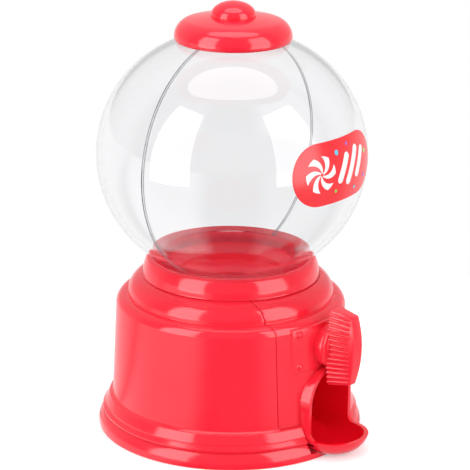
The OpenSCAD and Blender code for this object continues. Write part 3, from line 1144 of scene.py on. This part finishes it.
    def panel(self) -> Moulding:
        """The cover's own skin, as a slice of the wall and the steps.

        Returns:
            The skin.
        """
        f = self.form
        top = f.step_top - f.play
        gap = f.collar_r + f.seam
        low = f.ledge_z + f.play
        outside = self.steps_outline(top)[1:]
        inside = [p for p in self.inside_outline()[:-1] if p[0] > gap]
        outline = [(f.wall_at(low), low), *outside, (gap, top), (gap, f.step_top - f.wall)]
        outline += [*inside, (f.wall_at(low) - f.wall, low)]
        return Moulding("panel").revolve(outline).keep_front(f.cover_half - f.seam / 2, 10)

    def raised_plate(self) -> Moulding:
        """The thin plate round the drive's boss, with the bumps at its corners.

        Returns:
            The plate.
        """
        f, c = self.form, self.chute
        low = c.arch_z + c.mouth_half + c.wall + 0.2
        high = low + self.plate_h
        outline = [
            (f.wall_at(low) - 1.0, low),
            (f.wall_at(low) + self.plate_t, low),
            (f.wall_at(high) + self.plate_t, high),
            (f.wall_at(high) - 3.0, high),
            (f.wall_at(low) - 1.4, f.shoulder_z),
        ]
        piece = Moulding().revolve(outline).keep_front(self.plate_half, 10)
        piece.soften(
            0.3, lambda p: math.hypot(p.x, p.y) > f.wall_at(p.z) + self.plate_t - 0.3
        )
        for side in (-1, 1):
            for z in (low + self.bump_in[1], high - self.bump_in[1]):
                x = side * (self.plate_half - self.bump_in[0])
                y = self.bump_sunk - math.sqrt((f.wall_at(z) + self.plate_t) ** 2 - x**2)
                piece.combine(Cut.JOIN, Moulding().ball(self.bump_r, Vector((x, y, z))))
        return piece

    def boss(self) -> Moulding:
        """The round boss behind the grip, with its recess and bore.

        Returns:
            The boss.
        """
        bore, r, y = self.form.drive_bore_r, self.boss_r, -self.boss_y
        outline = [
            (bore, -30.0, 0),
            (bore, y + self.recess, 0.15),
            (self.recess_r, y + self.recess, 0.2),
            (self.recess_r, y, 0.3),
            (r, y, 0.4),
            (r, -33.4, 0),
            (4.0, -33.4, 0),
            (4.0, -30.0, 0),
        ]
        middle = Vector((0, 0, self.form.drive_z))
        return Moulding().revolve(rounded(outline), 96, middle, Axis.BACK)

    def build_cover(self) -> None:
        """Builds the front cover."""
        f, c = self.form, self.chute
        middle = Vector((0, 0, f.drive_z))
        piece = self.panel()
        piece.soften(self.edge, self.seam_edges(f.cover_half - f.seam / 2), segments=2)
        piece.combine(Cut.JOIN, self.raised_plate())
        core = Moulding().rod(self.boss_r - 0.5, -45, -20, 96, middle, Axis.BACK)
        piece.combine(Cut.REMOVE, core).combine(Cut.JOIN, self.boss())
        piece.combine(Cut.REMOVE, Moulding().prism(c.outline(c.wall + 0.1), IN_FRONT, -10))
        end, floor = -31.6, -30
        r, bore, y = self.lug[0], f.tap_r, -self.tab_y
        post = [(0, end), (r, end), (r, y), (bore, y), (bore, floor), (0, floor)]
        for side in (-1, 1):
            for z in f.cover_screw_zs:
                at = Vector((side * f.cover_screw_x, 0, z))
                piece.combine(Cut.JOIN, Moulding().revolve(post, 40, at, Axis.BACK))
        piece.tidy().finish(self.finish, Body.MACHINE, Slot.RED, ["front_cover"])


@dataclass
class Chute:
    """The channel from the drum to the scoop, with a deeper red painted on its inside as shade.
    """

    finish: Material
    # painted shade: the deeper red of the faces that look inwards
    inside: Material
    base: BaseForm
    form: ChuteForm
    edge: float = 0.45
    axis_z: float = 12.0

    def scoop(self, piece: Moulding, t: float, top: float, lap: float, back: float) -> Moulding:
        """Adds the channel and the scoop's bowl in front of it.

        Args:
            piece: the piece they are added to.
            t: how far they are moved outwards.
            top: the bowl's height.
            lap: how far the channel runs into the bowl.
            back: the channel's back end.

        Returns:
            The piece.
        """
        c = self.form
        y = c.mouth_y + c.bowl_out
        piece.prism(c.outline(t), -y - lap, back)
        bowl = Moulding().revolve(c.bowl(t, top), 128, Vector((0, -y, 0)))
        return piece.combine(Cut.JOIN, bowl.slice_off((0, -y + 0.5, 0), (0, 1, 0)))

    def build(self) -> None:
        """Builds the chute, and marks with 1 its faces that look inwards, which take a deeper red
        as painted shade.
        """
        b, c = self.base, self.form
        top = c.lip_z + c.sweep
        piece = self.scoop(Moulding("chute_channel"), c.wall, top, 0.01, c.back_y + c.wall)
        inner = self.scoop(Moulding(), 0, top + 1, 0.2, c.back_y)
        back, front = c.back_y + 1, -c.front_cut - 4
        slide = [(back, c.slide_z + 0.25), (back, BELOW), (front, BELOW)]
        slide.append((front, c.low_z + c.wall))
        inner.combine(Cut.REMOVE, Moulding().prism(slide, -ASIDE, ASIDE, Plane.YZ))
        curve = arc(-c.mouth_y - c.sweep, c.lip_z + c.sweep, c.sweep, -90, 0, 16)
        sweep = [(-70, c.lip_z), *curve, (-c.mouth_y, 40), (-70, 40)]
        under = rect(-ASIDE, BELOW, ASIDE, b.floor_t + 0.05)
        housing = rect(-ASIDE, b.housing_low - 0.3, ASIDE, 40)
        piece.combine(
            Cut.REMOVE,
            inner,
            Moulding().prism(sweep, -ASIDE, ASIDE, Plane.YZ),
            Moulding().prism(under, -c.front_cut - 0.25, ASIDE),
            Moulding().prism(housing, -b.housing_y - 0.5, 30),
        )
        piece.tidy(0.012)
        piece.soften(
            self.edge, lambda p: p.y < -c.mouth_y + 0.2 and p.z > 3.0, angle=50, segments=4
        )
        # painted shade: the faces that look inwards take the deeper red
        for face in piece.bm.faces:
            face.normal_update()
            middle = face.calc_center_median()
            inward = face.normal.x * middle.x + face.normal.z * (middle.z - self.axis_z)
            if inward < -0.2 and abs(face.normal.y) < 0.9 and middle.z > 1:
                face.material_index = 1
        piece.finish(self.finish, Body.MACHINE, Slot.RED, ["chute"], extra=(self.inside,))


@dataclass
class Hopper:
    """The funnel under the globe, its throat and the drum's housing."""

    # painted light: its finish is a brighter red than the rest of the plastic, standing in for
    # light
    finish: Material
    base: BaseForm
    throat_r: float = 15.5
    wall: float = 1.6
    top_r: float = 24.1
    rim_z: float = 50.2
    rim_t: float = 1.8
    throat_z: float = 48.0
    bowl_z: float = 83.6
    bowl_top_r: float = 19.8
    housing_half: float = 9.75
    room_r: float = 8.15
    room_y: float = 9.3
    feed_half: float = 5.2
    ear_x: float = 12.05
    ear_r: float = 2.6
    lug_r: float = 2.2
    lug_top: float = 44.0

    def outline(self, floor: float) -> list[Pair]:
        """Half section of the funnel and its throat.

        Args:
            floor: height of the throat's floor.

        Returns:
            The outline's points.
        """
        out = self.throat_r + self.wall
        bowl_r = math.hypot(self.throat_r, self.bowl_z - self.throat_z)
        steps = 12
        radii = [
            self.bowl_top_r + (self.throat_r - self.bowl_top_r) * i / steps
            for i in range(steps + 1)
        ]
        bowl = [(r, self.bowl_z - math.sqrt(bowl_r**2 - r**2)) for r in radii]
        return [
            (self.feed_half, floor),
            (out, floor),
            (out, self.throat_z - 1.4),
            (20.1, self.rim_z - self.rim_t),
            (self.top_r, self.rim_z - self.rim_t),
            (self.top_r, self.rim_z),
            *bowl[:-1],
            *arc(self.throat_r + 0.5, bowl[-1][1] - 0.35, 0.5, 70, 180, 6),
            (self.throat_r, floor + 3.4),
            (self.feed_half, floor + 1.4),
        ]

    def add_lugs(self, piece: Moulding) -> None:
        """Adds the lugs that the hopper hangs by, with their screw holes.

        Args:
            piece: the hopper.
        """
        b = self.base
        root = self.throat_r + 0.4
        outline = [
            *arc(b.lug_ring_r, 0, self.lug_r, -90, 90, 16),
            (root, self.lug_r),
            (root, -self.lug_r),
        ]
        for turn in b.lug_turns:
            lug = Moulding().prism(outline, self.lug_top - self.wall, self.lug_top, Plane.XY)
            piece.combine(Cut.JOIN, lug.spin(turn - 90))
            hole = Moulding().rod(b.screw_gap_r, 41, 47, 32, around(b.lug_ring_r, turn))
            piece.combine(Cut.REMOVE, hole)

    def build(self) -> None:
        """Builds the hopper."""
        b = self.base
        half, z, y = self.housing_half, b.drive_z, b.housing_y
        floor = z + half - 0.6
        dome = [p for p in arc(0, z, half, 0, 180, 64) if p[1] < floor + 1]
        housing = [(half, b.housing_low), *dome, (-half, b.housing_low)]
        ears = arc(self.ear_x, z, self.ear_r, -90, 90, 16)
        ears += arc(-self.ear_x, z, self.ear_r, 90, 270, 16)
        piece = Moulding("hopper_funnel").revolve(self.outline(floor))
        piece.combine(
            Cut.JOIN, Moulding().prism(housing, -y, y), Moulding().prism(ears, y - 7, y)
        )
        self.add_lugs(piece)
        r = self.room_r
        room = [(r, 0), *arc(0, z, r, 0, 180, 64), (-r, 0)]
        piece.combine(
            Cut.REMOVE,
            Moulding().prism(room, -self.room_y, self.room_y),
            Moulding().rod(self.feed_half, 30, 46, 64),
            Moulding().rod(b.drive_bore_r, -30, 30, 64, Vector((0, 0, z)), Axis.BACK),
        )
        piece.tidy().finish(self.finish, Body.MACHINE, Slot.RED, ["hopper"])


@dataclass
class Globe:
    """The clear globe in two halves.

    The inner finishes are those of the faces that meet, of their chamfers and of the neck; the
    neck's pale red is painted light.
    """

    finish: Material
    inner_finishes: Sequence[Material]
    equator_r: float = 40.7
    flat: float = 4.0
    middle_z: float = 85.604
    wall: float = 1.5
    turn: float = -2.5
    joint: float = 0.06
    edge: float = 0.14
    seat_z: float = 53.4
    neck_r: float = 21.6
    flange_r: float = 24.0
    clamp_z: float = 51.6
    flange_t: float = 1.4
    mouth_r: float = 15.6
    mouth_top: float = 121.7

    @property
    def arc_r(self) -> float:
        """Radius of the globe's curve."""
        return self.equator_r - self.flat

    def radius_at(self, z: float, t: float = 0.0) -> float:
        """Outer radius at height z, moved outwards by t."""
        return self.flat + math.sqrt((self.arc_r + t) ** 2 - (z - self.middle_z) ** 2)

    def curve(self, t: float, start_r: float, end_r: float) -> list[Pair]:
        """The globe's curve from below up, moved inwards by t.

        Args:
            t: how far it is moved inwards.
            start_r: radius outside at its lower end.
            end_r: radius outside at its upper end.

        Returns:
            The points.
        """
        r = self.arc_r - t
        low = -math.degrees(math.acos((start_r - t - self.flat) / r))
        high = math.degrees(math.acos((end_r - t - self.flat) / r))
        return arc(self.flat, self.middle_z, r, low, high, 120)

    def outline(self) -> list[Pair]:
        """Half section of the globe's wall with its neck and flange.

        Returns:
            The outline's points.
        """
        rim = self.clamp_z - self.flange_t
        mouth_in = self.mouth_r - self.wall
        mouth = [
            (self.mouth_r, 119, 0),
            (self.mouth_r, self.mouth_top, 0.4),
            (mouth_in, self.mouth_top, 0.4),
            (mouth_in, 118, 0),
        ]
        return [
            (self.neck_r - self.wall, rim),
            (self.flange_r, rim),
            (self.flange_r, self.clamp_z),
            (self.neck_r, self.clamp_z),
            *self.curve(0, self.neck_r, self.mouth_r),
            *rounded(mouth, 4)[1:-1],
            *reversed(self.curve(self.wall, self.neck_r, self.mouth_r)),
        ]

    def mark(self, piece: Moulding) -> None:
        """Marks the faces that meet with 1, their chamfers with 2 and the neck's faces with 3.

        Args:
            piece: one half of the globe.
        """
        for face in piece.bm.faces:
            middle = face.calc_center_median()
            if abs(middle.y) < self.joint / 2 + self.edge + 0.01:
                face.normal_update()
                if abs(face.normal.y) > 0.95:
                    face.material_index = 1
                elif abs(face.normal.y) > 0.3:
                    face.material_index = 2
            # painted light: the neck's faces take a pale red that covers the shaded gap behind
            # them
            if middle.z < self.seat_z:
                face.material_index = 3

    def build(self) -> None:
        """Builds both halves."""
        gap = self.joint / 2
        for name, node, side in (
            ("globe_shell_front", "globe_front", 1),
            ("globe_shell_rear", "globe_rear", -1),
        ):
            piece = Moulding(name).revolve(self.outline(), 256)
            piece.slice_off((0, -side * gap, 0), (0, side, 0))
            piece.soften(self.edge, lambda p: abs(p.y) < gap + 0.01, angle=50, segments=1)
            self.mark(piece)
            piece.spin(self.turn)
            piece.finish(
                self.finish, Body.MACHINE, Slot.CLEAR, [node], sharp=40, extra=self.inner_finishes
            )


@dataclass
class Lid:
    """The lift-off lid and its round handle."""

    finish: Material
    radius: float = 17.55
    rounding: float = 5.2
    height: float = 7.9
    wall: float = 1.5
    low_z: float = 120.012
    edge: float = 1.5
    tuck: float = 0.7
    seat_depth: float = 0.6
    knob_r: float = 6.7
    knob_h: float = 4.0

    @property
    def seat(self) -> float:
        """Height of the handle's seat."""
        return self.low_z + self.height - self.seat_depth

    def outline(self, t: float) -> list[Pair]:
        """Half section of the lid's skirt and crown, moved inwards by t, from below up.

        Args:
            t: how far it is moved inwards.

        Returns:
            The points.
        """
        a = self.radius - self.rounding
        h = self.height - self.edge
        big = (a**2 + h**2 - self.rounding**2) / (2 * (h - self.rounding))
        meet = math.degrees(math.asin((big - h) / (big - self.rounding)))
        crown = arc(0, self.low_z + self.height - big, big - t, meet, 90, 20)[1:]
        return arc(a, self.low_z + self.edge, self.rounding - t, 0, meet, 16) + crown

    def build_crown(self) -> None:
        """Builds the lid."""
        low, seat, inner = self.low_z, self.seat, self.radius - self.wall
        skirt = [(inner, low + 0.5), (inner + 0.2, low + 0.3)]
        for x, z in arc(0, 0, 1, -90, -6, 12):
            r = self.radius - self.tuck + self.tuck * x
            skirt.append((r, low + self.edge + (self.edge - 0.3) * z))
        outline = self.outline(0) + self.outline(self.wall)[::-1] + skirt
        piece = Moulding("lid_crown").revolve(outline)
        piece.combine(
            Cut.REMOVE,
            Moulding().rod(self.knob_r - 0.35, seat, seat + 5, 120),
            Moulding().rod(self.knob_r / 3, 100, 140, 64),
        )
        piece.finish(self.finish, Body.LID, Slot.RED, ["lid"])

    def build_handle(self) -> None:
        """Builds the handle."""
        seat, stem, neck = self.seat, self.knob_r / 3, self.knob_r - 0.45
        low = seat - self.wall
        dome = [
            (self.knob_r * x, seat + 0.5 + (self.knob_h + 0.2) * z)
            for x, z in arc(0, 0, 1, -4, 88, 26)
        ]
        outline = [
            (0, low),
            *arc(stem - 0.3, low + 0.3, 0.3, -90, 0, 4),
            (stem, seat),
            (neck, seat),
            (neck, seat + 0.15),
            *dome,
            (0, seat + 0.7 + self.knob_h),
        ]
        piece = Moulding("lid_handle").revolve(outline, 120)
        piece.finish(self.finish, Body.LID, Slot.RED, ["lid_knob"])


@dataclass
class Grip:
    """The ribbed grip that turns the drum."""

    finish: Material
    base: BaseForm
    back_y: float = -38.7
    length: float = 23.2
    width: float = 7.6
    end_width: float = 5.4
    depth: float = 8.3
    crown: float = 45.0
    turn: float = 2.0
    draft: float = 10.0
    end_draw: float = 1.2
    rib_pitch: float = 1.5
    rib_r: float = 0.5
    rib_share: float = 0.84
    hub_r: float = 4.5
    hub_t: float = 1.3
    socket_r: float = 2.03

    def half_width(self, z: float) -> float:
        """Half the grip's width at its back.

        Args:
            z: height from its middle.

        Returns:
            The half width.
        """
        drop = self.width - self.end_width
        bulge = (self.length**2 / 4 - (drop / 2) ** 2) / drop + drop / 4
        return self.width / 2 - (bulge - math.sqrt(bulge**2 - z**2))

    def lean(self, y: float) -> float:
        """How far the ends draw in at a distance from the grip's back."""
        return 1 - self.end_draw / self.length * 2 * abs(y) / self.depth

    def blank(self) -> Moulding:
        """The smooth body of the grip, drawn in towards the front.

        Returns:
            The body, with its back at Y = 0.
        """
        steps = 36
        heights = [self.length * i / steps - self.length / 2 for i in range(steps + 1)]
        outline = [(self.half_width(z), z) for z in heights]
        outline += [(-self.half_width(z), z) for z in reversed(heights)]
        piece = Moulding("grip_blank").prism(outline, 0, -self.depth)
        taper = math.tan(math.radians(self.draft))
        for v in piece.bm.verts:
            if v.co.y < -0.1:
                pull = taper * abs(v.co.y)
                v.co.x -= math.copysign(min(pull, abs(v.co.x)), v.co.x)
                v.co.z *= self.lean(v.co.y)
        front = arc(self.crown - self.depth, 0, self.crown, 160, 200, 48)
        front += [(ASIDE, -ASIDE), (ASIDE, ASIDE)]
        piece.combine(Cut.KEEP, Moulding().prism(front, -ASIDE, ASIDE, Plane.YZ)).tidy()
        return piece.soften(0.6, lambda p: p.y < -0.5, angle=30, segments=4)

    def ribs(self) -> Moulding:
        """The ribs on both flanks.

        Returns:
            The ribs as one piece.
        """
        count = int((self.length - 2.0) / self.rib_pitch / 2)
        run = self.depth * self.rib_share
        tip = [
            (self.rib_r * math.sin(a), -run + 0.5 * (1 - math.cos(a)))
            for a in map(math.radians, (30, 60, 90))
        ]
        outline = [(0, -run), *tip, (self.rib_r, 0), (0, 0)]
        piece = Moulding()
        for i in range(-count, count + 1):
            z = i * self.rib_pitch
            for side in (-1, 1):
                rib = Moulding().revolve(outline, 16, axis=Axis.BACK).spin(-side * self.draft)
                piece.take(rib.move((side * self.half_width(z), 0, z)).bm)
        for v in piece.bm.verts:
            v.co.z *= self.lean(v.co.y)
        return piece

    def build(self) -> None:
        """Builds the grip."""
        piece = self.blank().combine(Cut.JOIN, self.ribs()).spin(self.turn, Axis.BACK)
        hub = [
            (0, -1, 0), (self.hub_r, -1, 0), (self.hub_r, self.hub_t, 0.3), (0, self.hub_t, 0)
        ]
        piece.combine(Cut.JOIN, Moulding().revolve(rounded(hub), 96, axis=Axis.BACK))
        flat_sided = arc(0, 0, self.socket_r, 54, 306, 40)
        piece.combine(Cut.REMOVE, Moulding().prism(flat_sided, 5, -5))
        piece.move((0, self.back_y, self.base.drive_z)).tidy()
        piece.finish(self.finish, Body.DISPENSER, Slot.RED, ["knob"])


@dataclass
class Label:
    """The printed label on the globe: a rounded field with a swirl, bars and confetti."""

    inks: dict[str, Material]
    globe: Globe
    width: float = 37.0
    height: float = 18.5
    drop: float = -2.5
    turn: float = -1.0
    gap: float = 0.02
    film_t: float = 0.25
    print_t: float = 0.05
    grid: float = 1.2
    swirl: Pair = (-9.2, 0.3)
    swirl_r: float = 5.4
    swirl_hole: float = 0.5
    swirl_turn: float = 55.0
    blade_count: int = 6
    blade_wide: float = 30.0
    bar_width: float = 2.3
    bar_lean: float = 62.0
    bar_z: float = 0.6
    bars: Sequence[Pair] = ((0.2, 9.5), (4.7, 12.0), (9.2, 9.5))
    dots: dict[str, list[Corner]] = field(
        default_factory=lambda: {
            "green": [(13.6, 2.6, 0.75), (-3.4, -5.6, 0.5)],
            "blue": [(-2.6, 5.6, 0.8), (6.4, -6.6, 0.5)],
            "violet": [(13.0, -4.6, 0.65), (2.6, 7.2, 0.5)],
        }
    )

    def wrap(self, piece: Moulding, low: float, high: float) -> None:
        """Bends a flat piece onto the globe.

        Args:
            piece: lies in XZ about the label's middle, with its front at Y = -1.
            low: distance of its back from the globe.
            high: distance of its front from the globe.
        """
        turn = Matrix.Rotation(math.radians(self.turn), 3, "Z")
        middle = self.globe.middle_z - self.drop
        for v in piece.bm.verts:
            z = middle + v.co.z
            r = self.globe.radius_at(z, high if v.co.y < -0.5 else low)
            v.co = turn @ Vector((v.co.x, -math.sqrt(r**2 - v.co.x**2), z))

    def flat(self, name: str, outline: Sequence[Pair]) -> Moulding:
        """A flat plate of that outline, divided finely enough to bend.

        Args:
            name: the piece's name.
            outline: its X and Z points about the label's middle.

        Returns:
            The plate, between Y = 0 and Y = -1.
        """
        piece = Moulding(name).prism(outline, 0, -1)
        for axis, places in zip((0, 2), zip(*outline)):
            low, high = min(places), max(places)
            count = int((high - low) / self.grid)
            for i in range(1, count + 1):
                at, normal = Vector(), Vector()
                at[axis] = low + (high - low) * i / (count + 1)
                normal[axis] = 1
                piece.cross(at, normal, dist=1e-5)
        return piece

    def stadium(self, width: float, height: float) -> list[Pair]:
        """Outline of a bar with round ends, about its middle."""
        r, side = height / 2, (width - height) / 2
        return arc(side, 0, r, -90, 90, 24) + arc(-side, 0, r, 90, 270, 24)

    def blade(self, start: float) -> list[Pair]:
        """Outline of one curved blade of the swirl.

        Args:
            start: the blade's angle at the swirl's middle.

        Returns:
            The outline's points.
        """
        x, z = self.swirl
        steps = 10

        radii = [
            self.swirl_hole + (self.swirl_r - self.swirl_hole) * i / steps
            for i in range(steps + 1)
        ]

        def edge(r: float, first: float) -> Pair:
            """The point at a radius on an edge of the blade."""
            a = math.radians(first + self.swirl_turn * r / self.swirl_r)
            return (x + r * math.cos(a), z + r * math.sin(a))

        end = start + self.swirl_turn
        tip = arc(x, z, self.swirl_r, end, end + self.blade_wide, 5)[1:]
        back = [edge(r, start + self.blade_wide) for r in radii[-2::-1]]
        return [edge(r, start) for r in radii] + tip + back

    def bar(self, x: float, length: float) -> list[Pair]:
        """Outline of a leaning bar with round ends.

        Args:
            x: its middle.
            length: its length.

        Returns:
            The outline's points.
        """
        a = math.radians(self.bar_lean)
        c, s = math.cos(a), math.sin(a)
        outline = self.stadium(length, self.bar_width)
        return [(x + px * c - pz * s, self.bar_z + px * s + pz * c) for px, pz in outline]

    def print_on(self, ink: str, outlines: Iterable[Sequence[Pair]]) -> None:
        """Prints outlines on the film in one ink.

        Args:
            ink: the ink's name.
            outlines: their points about the label's middle.
        """
        piece = Moulding(f"label_print_{ink}")
        for outline in outlines:
            part = self.flat("print", outline)
            self.wrap(part, self.film_t, self.film_t + self.gap + self.print_t)
            piece.take(part.bm)
        piece.finish(self.inks[ink], Body.MACHINE, Slot.LABEL, sharp=50)

    def build(self) -> None:
        """Builds the film and its print."""
        film = self.flat("label_film", self.stadium(self.width, self.height))
        self.wrap(film, self.gap, self.film_t + self.gap)
        film.finish(self.inks["red"], Body.MACHINE, Slot.LABEL, ["globe_label"], sharp=50)
        shapes = [self.blade(360 / self.blade_count * i) for i in range(self.blade_count)]
        self.print_on("white", shapes + [self.bar(x, length) for x, length in self.bars])
        for ink, dots in self.dots.items():
            self.print_on(ink, [arc(x, z, r, 0, 345, 23) for x, z, r in dots])


@dataclass(frozen=True)
class Inner:
    """The frame's own nodes that stay, with a finish of their own."""

    red: Sequence[str] = ("drum", "bearing_plate")
    steel: Sequence[str] = (
        "drive_shaft", "drum_washer", "drum_screw", "bearing_screws", "hopper_screws",
        "cover_screws", "base_screws",
    )

    def dress(self, nodes: dict[str, Object], red: Material, steel: Material) -> None:
        """Gives each node its finish.

        Args:
            nodes: the frame's nodes by name.
            red: finish of the moulded ones.
            steel: finish of the metal ones.
        """
        for names, finish in ((self.red, red), (self.steel, steel)):
            for name in names:
                slots = nodes[name].data.materials
                slots.clear()
                slots.append(finish)


# ---------------------------------------------------------------- studio


@dataclass(frozen=True)
class SoftBox:
    """A soft lamp that stands upright beside the machine, facing its axis.

    The azimuth counts from the camera to its right. The size and the place of the lamp are
    in metres. The levels are the brightness for matt surfaces and the one in mirrors.
    """

    name: str
    azimuth: float
    width: float
    levels: Pair
    height: float = 0.54
    away: float = 0.38
    middle: float = 0.27


@dataclass
class Studio:
    """Camera, floor, lamps and world. Lengths of the camera are in millimetres."""

    azimuth: float = -53.14
    elevation: float = 18.04
    distance: float = 678.3
    aim_z: float = 59.84
    aim_right: float = 1.115
    roll: float = 0.585
    lens: float = 171.4
    boxes: Sequence[SoftBox] = (
        SoftBox("left_box", -50.5, 0.24, (1.9, 4.3)),
        SoftBox("right_box", 54.5, 0.27, (1.5, 3.6)),
    )
    top_size: Pair = (0.45, 0.27)
    top_front: float = 0.035
    top_high: float = 0.49
    top_aim: float = 0.1
    top_levels: Pair = (1.7, 2.2)
    lamp_gap: float = 0.01
    room_light: float = 0.75
    room_mirror: float = 0.25
    back_mirror: float = 0.7
    room_range: Pair = (-0.15, 0.45)
    floor_half: float = 6.0
    floor_lights: Pair = (-60, 62)

    def axes(self) -> tuple[Vector, Vector, Vector]:
        """Finds the camera's directions before it is rolled.

        Returns:
            Its right, up and back directions.
        """
        a = math.radians(self.azimuth)
        e = math.radians(self.elevation)
        back = Vector((math.sin(a) * math.cos(e), -math.cos(a) * math.cos(e), math.sin(e)))
        right = Vector((math.cos(a), math.sin(a), 0))
        return right, back.cross(right), back

    def toward(self, azimuth: float) -> Vector:
        """Finds a level direction.

        Args:
            azimuth: the angle from the camera to its right.

        Returns:
            The unit vector.
        """
        right, _, back = self.axes()
        a = math.radians(azimuth)
        return Vector((back.x, back.y, 0)).normalized() * math.cos(a) + right * math.sin(a)

    def camera(self) -> None:
        """Places the camera."""
        right, up, back = self.axes()
        aim = Vector((0, 0, self.aim_z)) + right * self.aim_right
        roll = math.radians(self.roll)
        right = right * math.cos(roll) + up * math.sin(roll)
        data = bpy.data.cameras.new("camera")
        data.lens = self.lens
        data.sensor_width = 36
        data.clip_end = 20
        item = bpy.data.objects.new("camera", data)
        turn = Matrix((right, back.cross(right), back)).transposed().to_4x4()
        item.matrix_world = Matrix.Translation((aim + back * self.distance) * MM) @ turn
        bpy.context.scene.collection.objects.link(item)
        bpy.context.scene.camera = item

    def softbox(
        self,
        name: str,
        place: Vector,
        aim: Vector,
        size: Pair,
        levels: Pair,
        shape: LampShape = LampShape.BOX,
        across: Vector | None = None,
    ) -> None:
        """Adds a soft lamp as a pair: one that lights and one that mirrors show.

        The first stands a little behind the second, so that neither covers the other.

        Args:
            name: its name.
            place: where it stands, in metres.
            aim: where it points.
            size: its width and height in metres.
            levels: brightness for matt surfaces and brightness in mirrors.
            shape: its outline.
            across: direction of its width, level by default.
        """
        direction = (aim - place).normalized()
        wide = across or direction.cross(Vector((0, 0, 1))).normalized()
        turn = Matrix((wide, (-direction).cross(wide), -direction)).transposed()
        for kind, level in zip(("light", "mirror"), levels):
            data = bpy.data.lights.new(f"{name}_{kind}", "AREA")
            data.shape = shape.value
            data.size, data.size_y = size
            data.energy = level * math.pi * size[0] * size[1]
            item = bpy.data.objects.new(f"{name}_{kind}", data)
            item.rotation_euler = turn.to_euler()
            item.location = place - direction * (self.lamp_gap if kind == "light" else 0.0)
            item.visible_camera = False
            item.visible_transmission = False
            item.visible_diffuse = kind == "light"
            item.visible_glossy = kind == "mirror"
            bpy.context.scene.collection.objects.link(item)

    def lamps(self) -> None:
        """Adds the lamps round the machine and the one over it."""
        for box in self.boxes:
            high = Vector((0, 0, box.middle))
            place = self.toward(box.azimuth) * box.away + high
            self.softbox(box.name, place, high, (box.width, box.height), box.levels)
        place = self.toward(0) * self.top_front + Vector((0, 0, self.top_high))
        aim = Vector((0, 0, self.top_aim))
        across = self.axes()[0]
        shape = LampShape.OVAL
        self.softbox("top_box", place, aim, self.top_size, self.top_levels, shape, across)

    def floor(self) -> None:
        """Adds the floor."""
        left, right = self.floor_lights
        finish = WhiteFloor(self.toward(0), self.toward(left), self.toward(right))
        bm = bmesh.new()
        bmesh.ops.create_grid(bm, x_segments=1, y_segments=1, size=self.floor_half)
        mesh = bpy.data.meshes.new("floor")
        bm.to_mesh(mesh)
        bm.free()
        mesh.materials.append(finish.make())
        item = bpy.data.objects.new("floor", mesh)
        bpy.context.scene.collection.objects.link(item)

    def world(self) -> None:
        """Sets a world that is white where it is seen and darker behind the camera."""
        world = bpy.data.worlds.new("studio")
        world.use_nodes = True
        bpy.context.scene.world = world
        nodes = Nodes(world.node_tree)
        path = nodes.add("LightPath").outputs
        place = nodes.add("TexCoord").outputs["Generated"]
        clear = nodes.maths("MAXIMUM", path["Is Glossy Ray"], path["Is Transmission Ray"])
        direct = nodes.maths("LESS_THAN", path["Diffuse Depth"], 0.5)
        mirrored = nodes.maths("MULTIPLY", clear, direct)
        top = nodes.maths("MULTIPLY_ADD", path["Is Glossy Ray"], self.back_mirror - 1.0, 1.0)
        side = nodes.dot(place, -self.toward(0))
        mirror = nodes.step(side, *self.room_range, top, self.room_mirror)
        room = nodes.blend(mirrored, self.room_light, mirror)
        strength = nodes.blend(path["Is Camera Ray"], room, 1.0)
        shader = nodes.tree.nodes["Background"]
        nodes.feed(shader, {"Strength": strength, "Color": (1.0, 1.0, 1.0, 1.0)})

    def build(self) -> None:
        """Builds the whole studio."""
        bpy.context.scene.view_settings.view_transform = "Standard"
        for step in (self.camera, self.lamps, self.world, self.floor):
            step()


def main() -> None:
    """Builds the studio and the machine piece by piece."""
    logging.basicConfig(level=logging.INFO, format="%(name)s: %(message)s")
    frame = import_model()
    Studio().build()

    red = MouldedPlastic("red_gloss").make()
    # painted light: a brighter copy of the red for the hopper, which stands in for the light it
    # lacks inside the globe
    painted_light_red = MouldedPlastic("red_painted_light", (0.98, 0.048, 0.08), (0.95, 0.04, 0.07)).make()
    # painted shade: a deeper red for the chute's inward faces, where shade falls
    deep = MouldedPlastic("red_painted_shade", (0.90, 0.004, 0.018), (0.86, 0.003, 0.014)).make()
    clear = ClearPlastic("clear_gloss").make()
    joint_face = JointFace("joint_face").make()
    joint_edge = JointFace(
        "joint_edge", (0.34, 0.31, 0.40), (0.20, 0.18, 0.25), veil=0.5, milk=0.7
    ).make()
    # painted light: a pale red sheet on the clear neck, over the shaded gap behind it
    neck_painted_light = JointFace("neck_painted_light", (0.95, 0.12, 0.17), (0.90, 0.07, 0.11), milk=0.6).make()
    steel = ZincSteel("zinc_steel").make()
    inks = {
        "red": (0.88, 0.022, 0.032),
        "white": (0.88, 0.88, 0.88),
        "green": (0.30, 0.62, 0.10),
        "blue": (0.16, 0.55, 0.78),
        "violet": (0.42, 0.14, 0.62),
    }
    inks = {name: PrintedFilm(f"label_{name}", ink).make() for name, ink in inks.items()}

    base = BaseForm()
    chute = ChuteForm()
    shell = BodyShell(red, base, chute)
    globe = Globe(clear, (joint_face, joint_edge, neck_painted_light))
    lid = Lid(red)
    for build in (
        Foot(red, base, chute).build,
        shell.build,
        shell.build_cover,
        Chute(red, deep, base, chute).build,
        Hopper(painted_light_red, base).build,
        globe.build,
        Label(inks, globe).build,
        lid.build_crown,
        lid.build_handle,
        Grip(red, base).build,
    ):
        build()
    Inner().dress(frame["nodes"], red, steel)


if __name__ == "__main__":
    main()
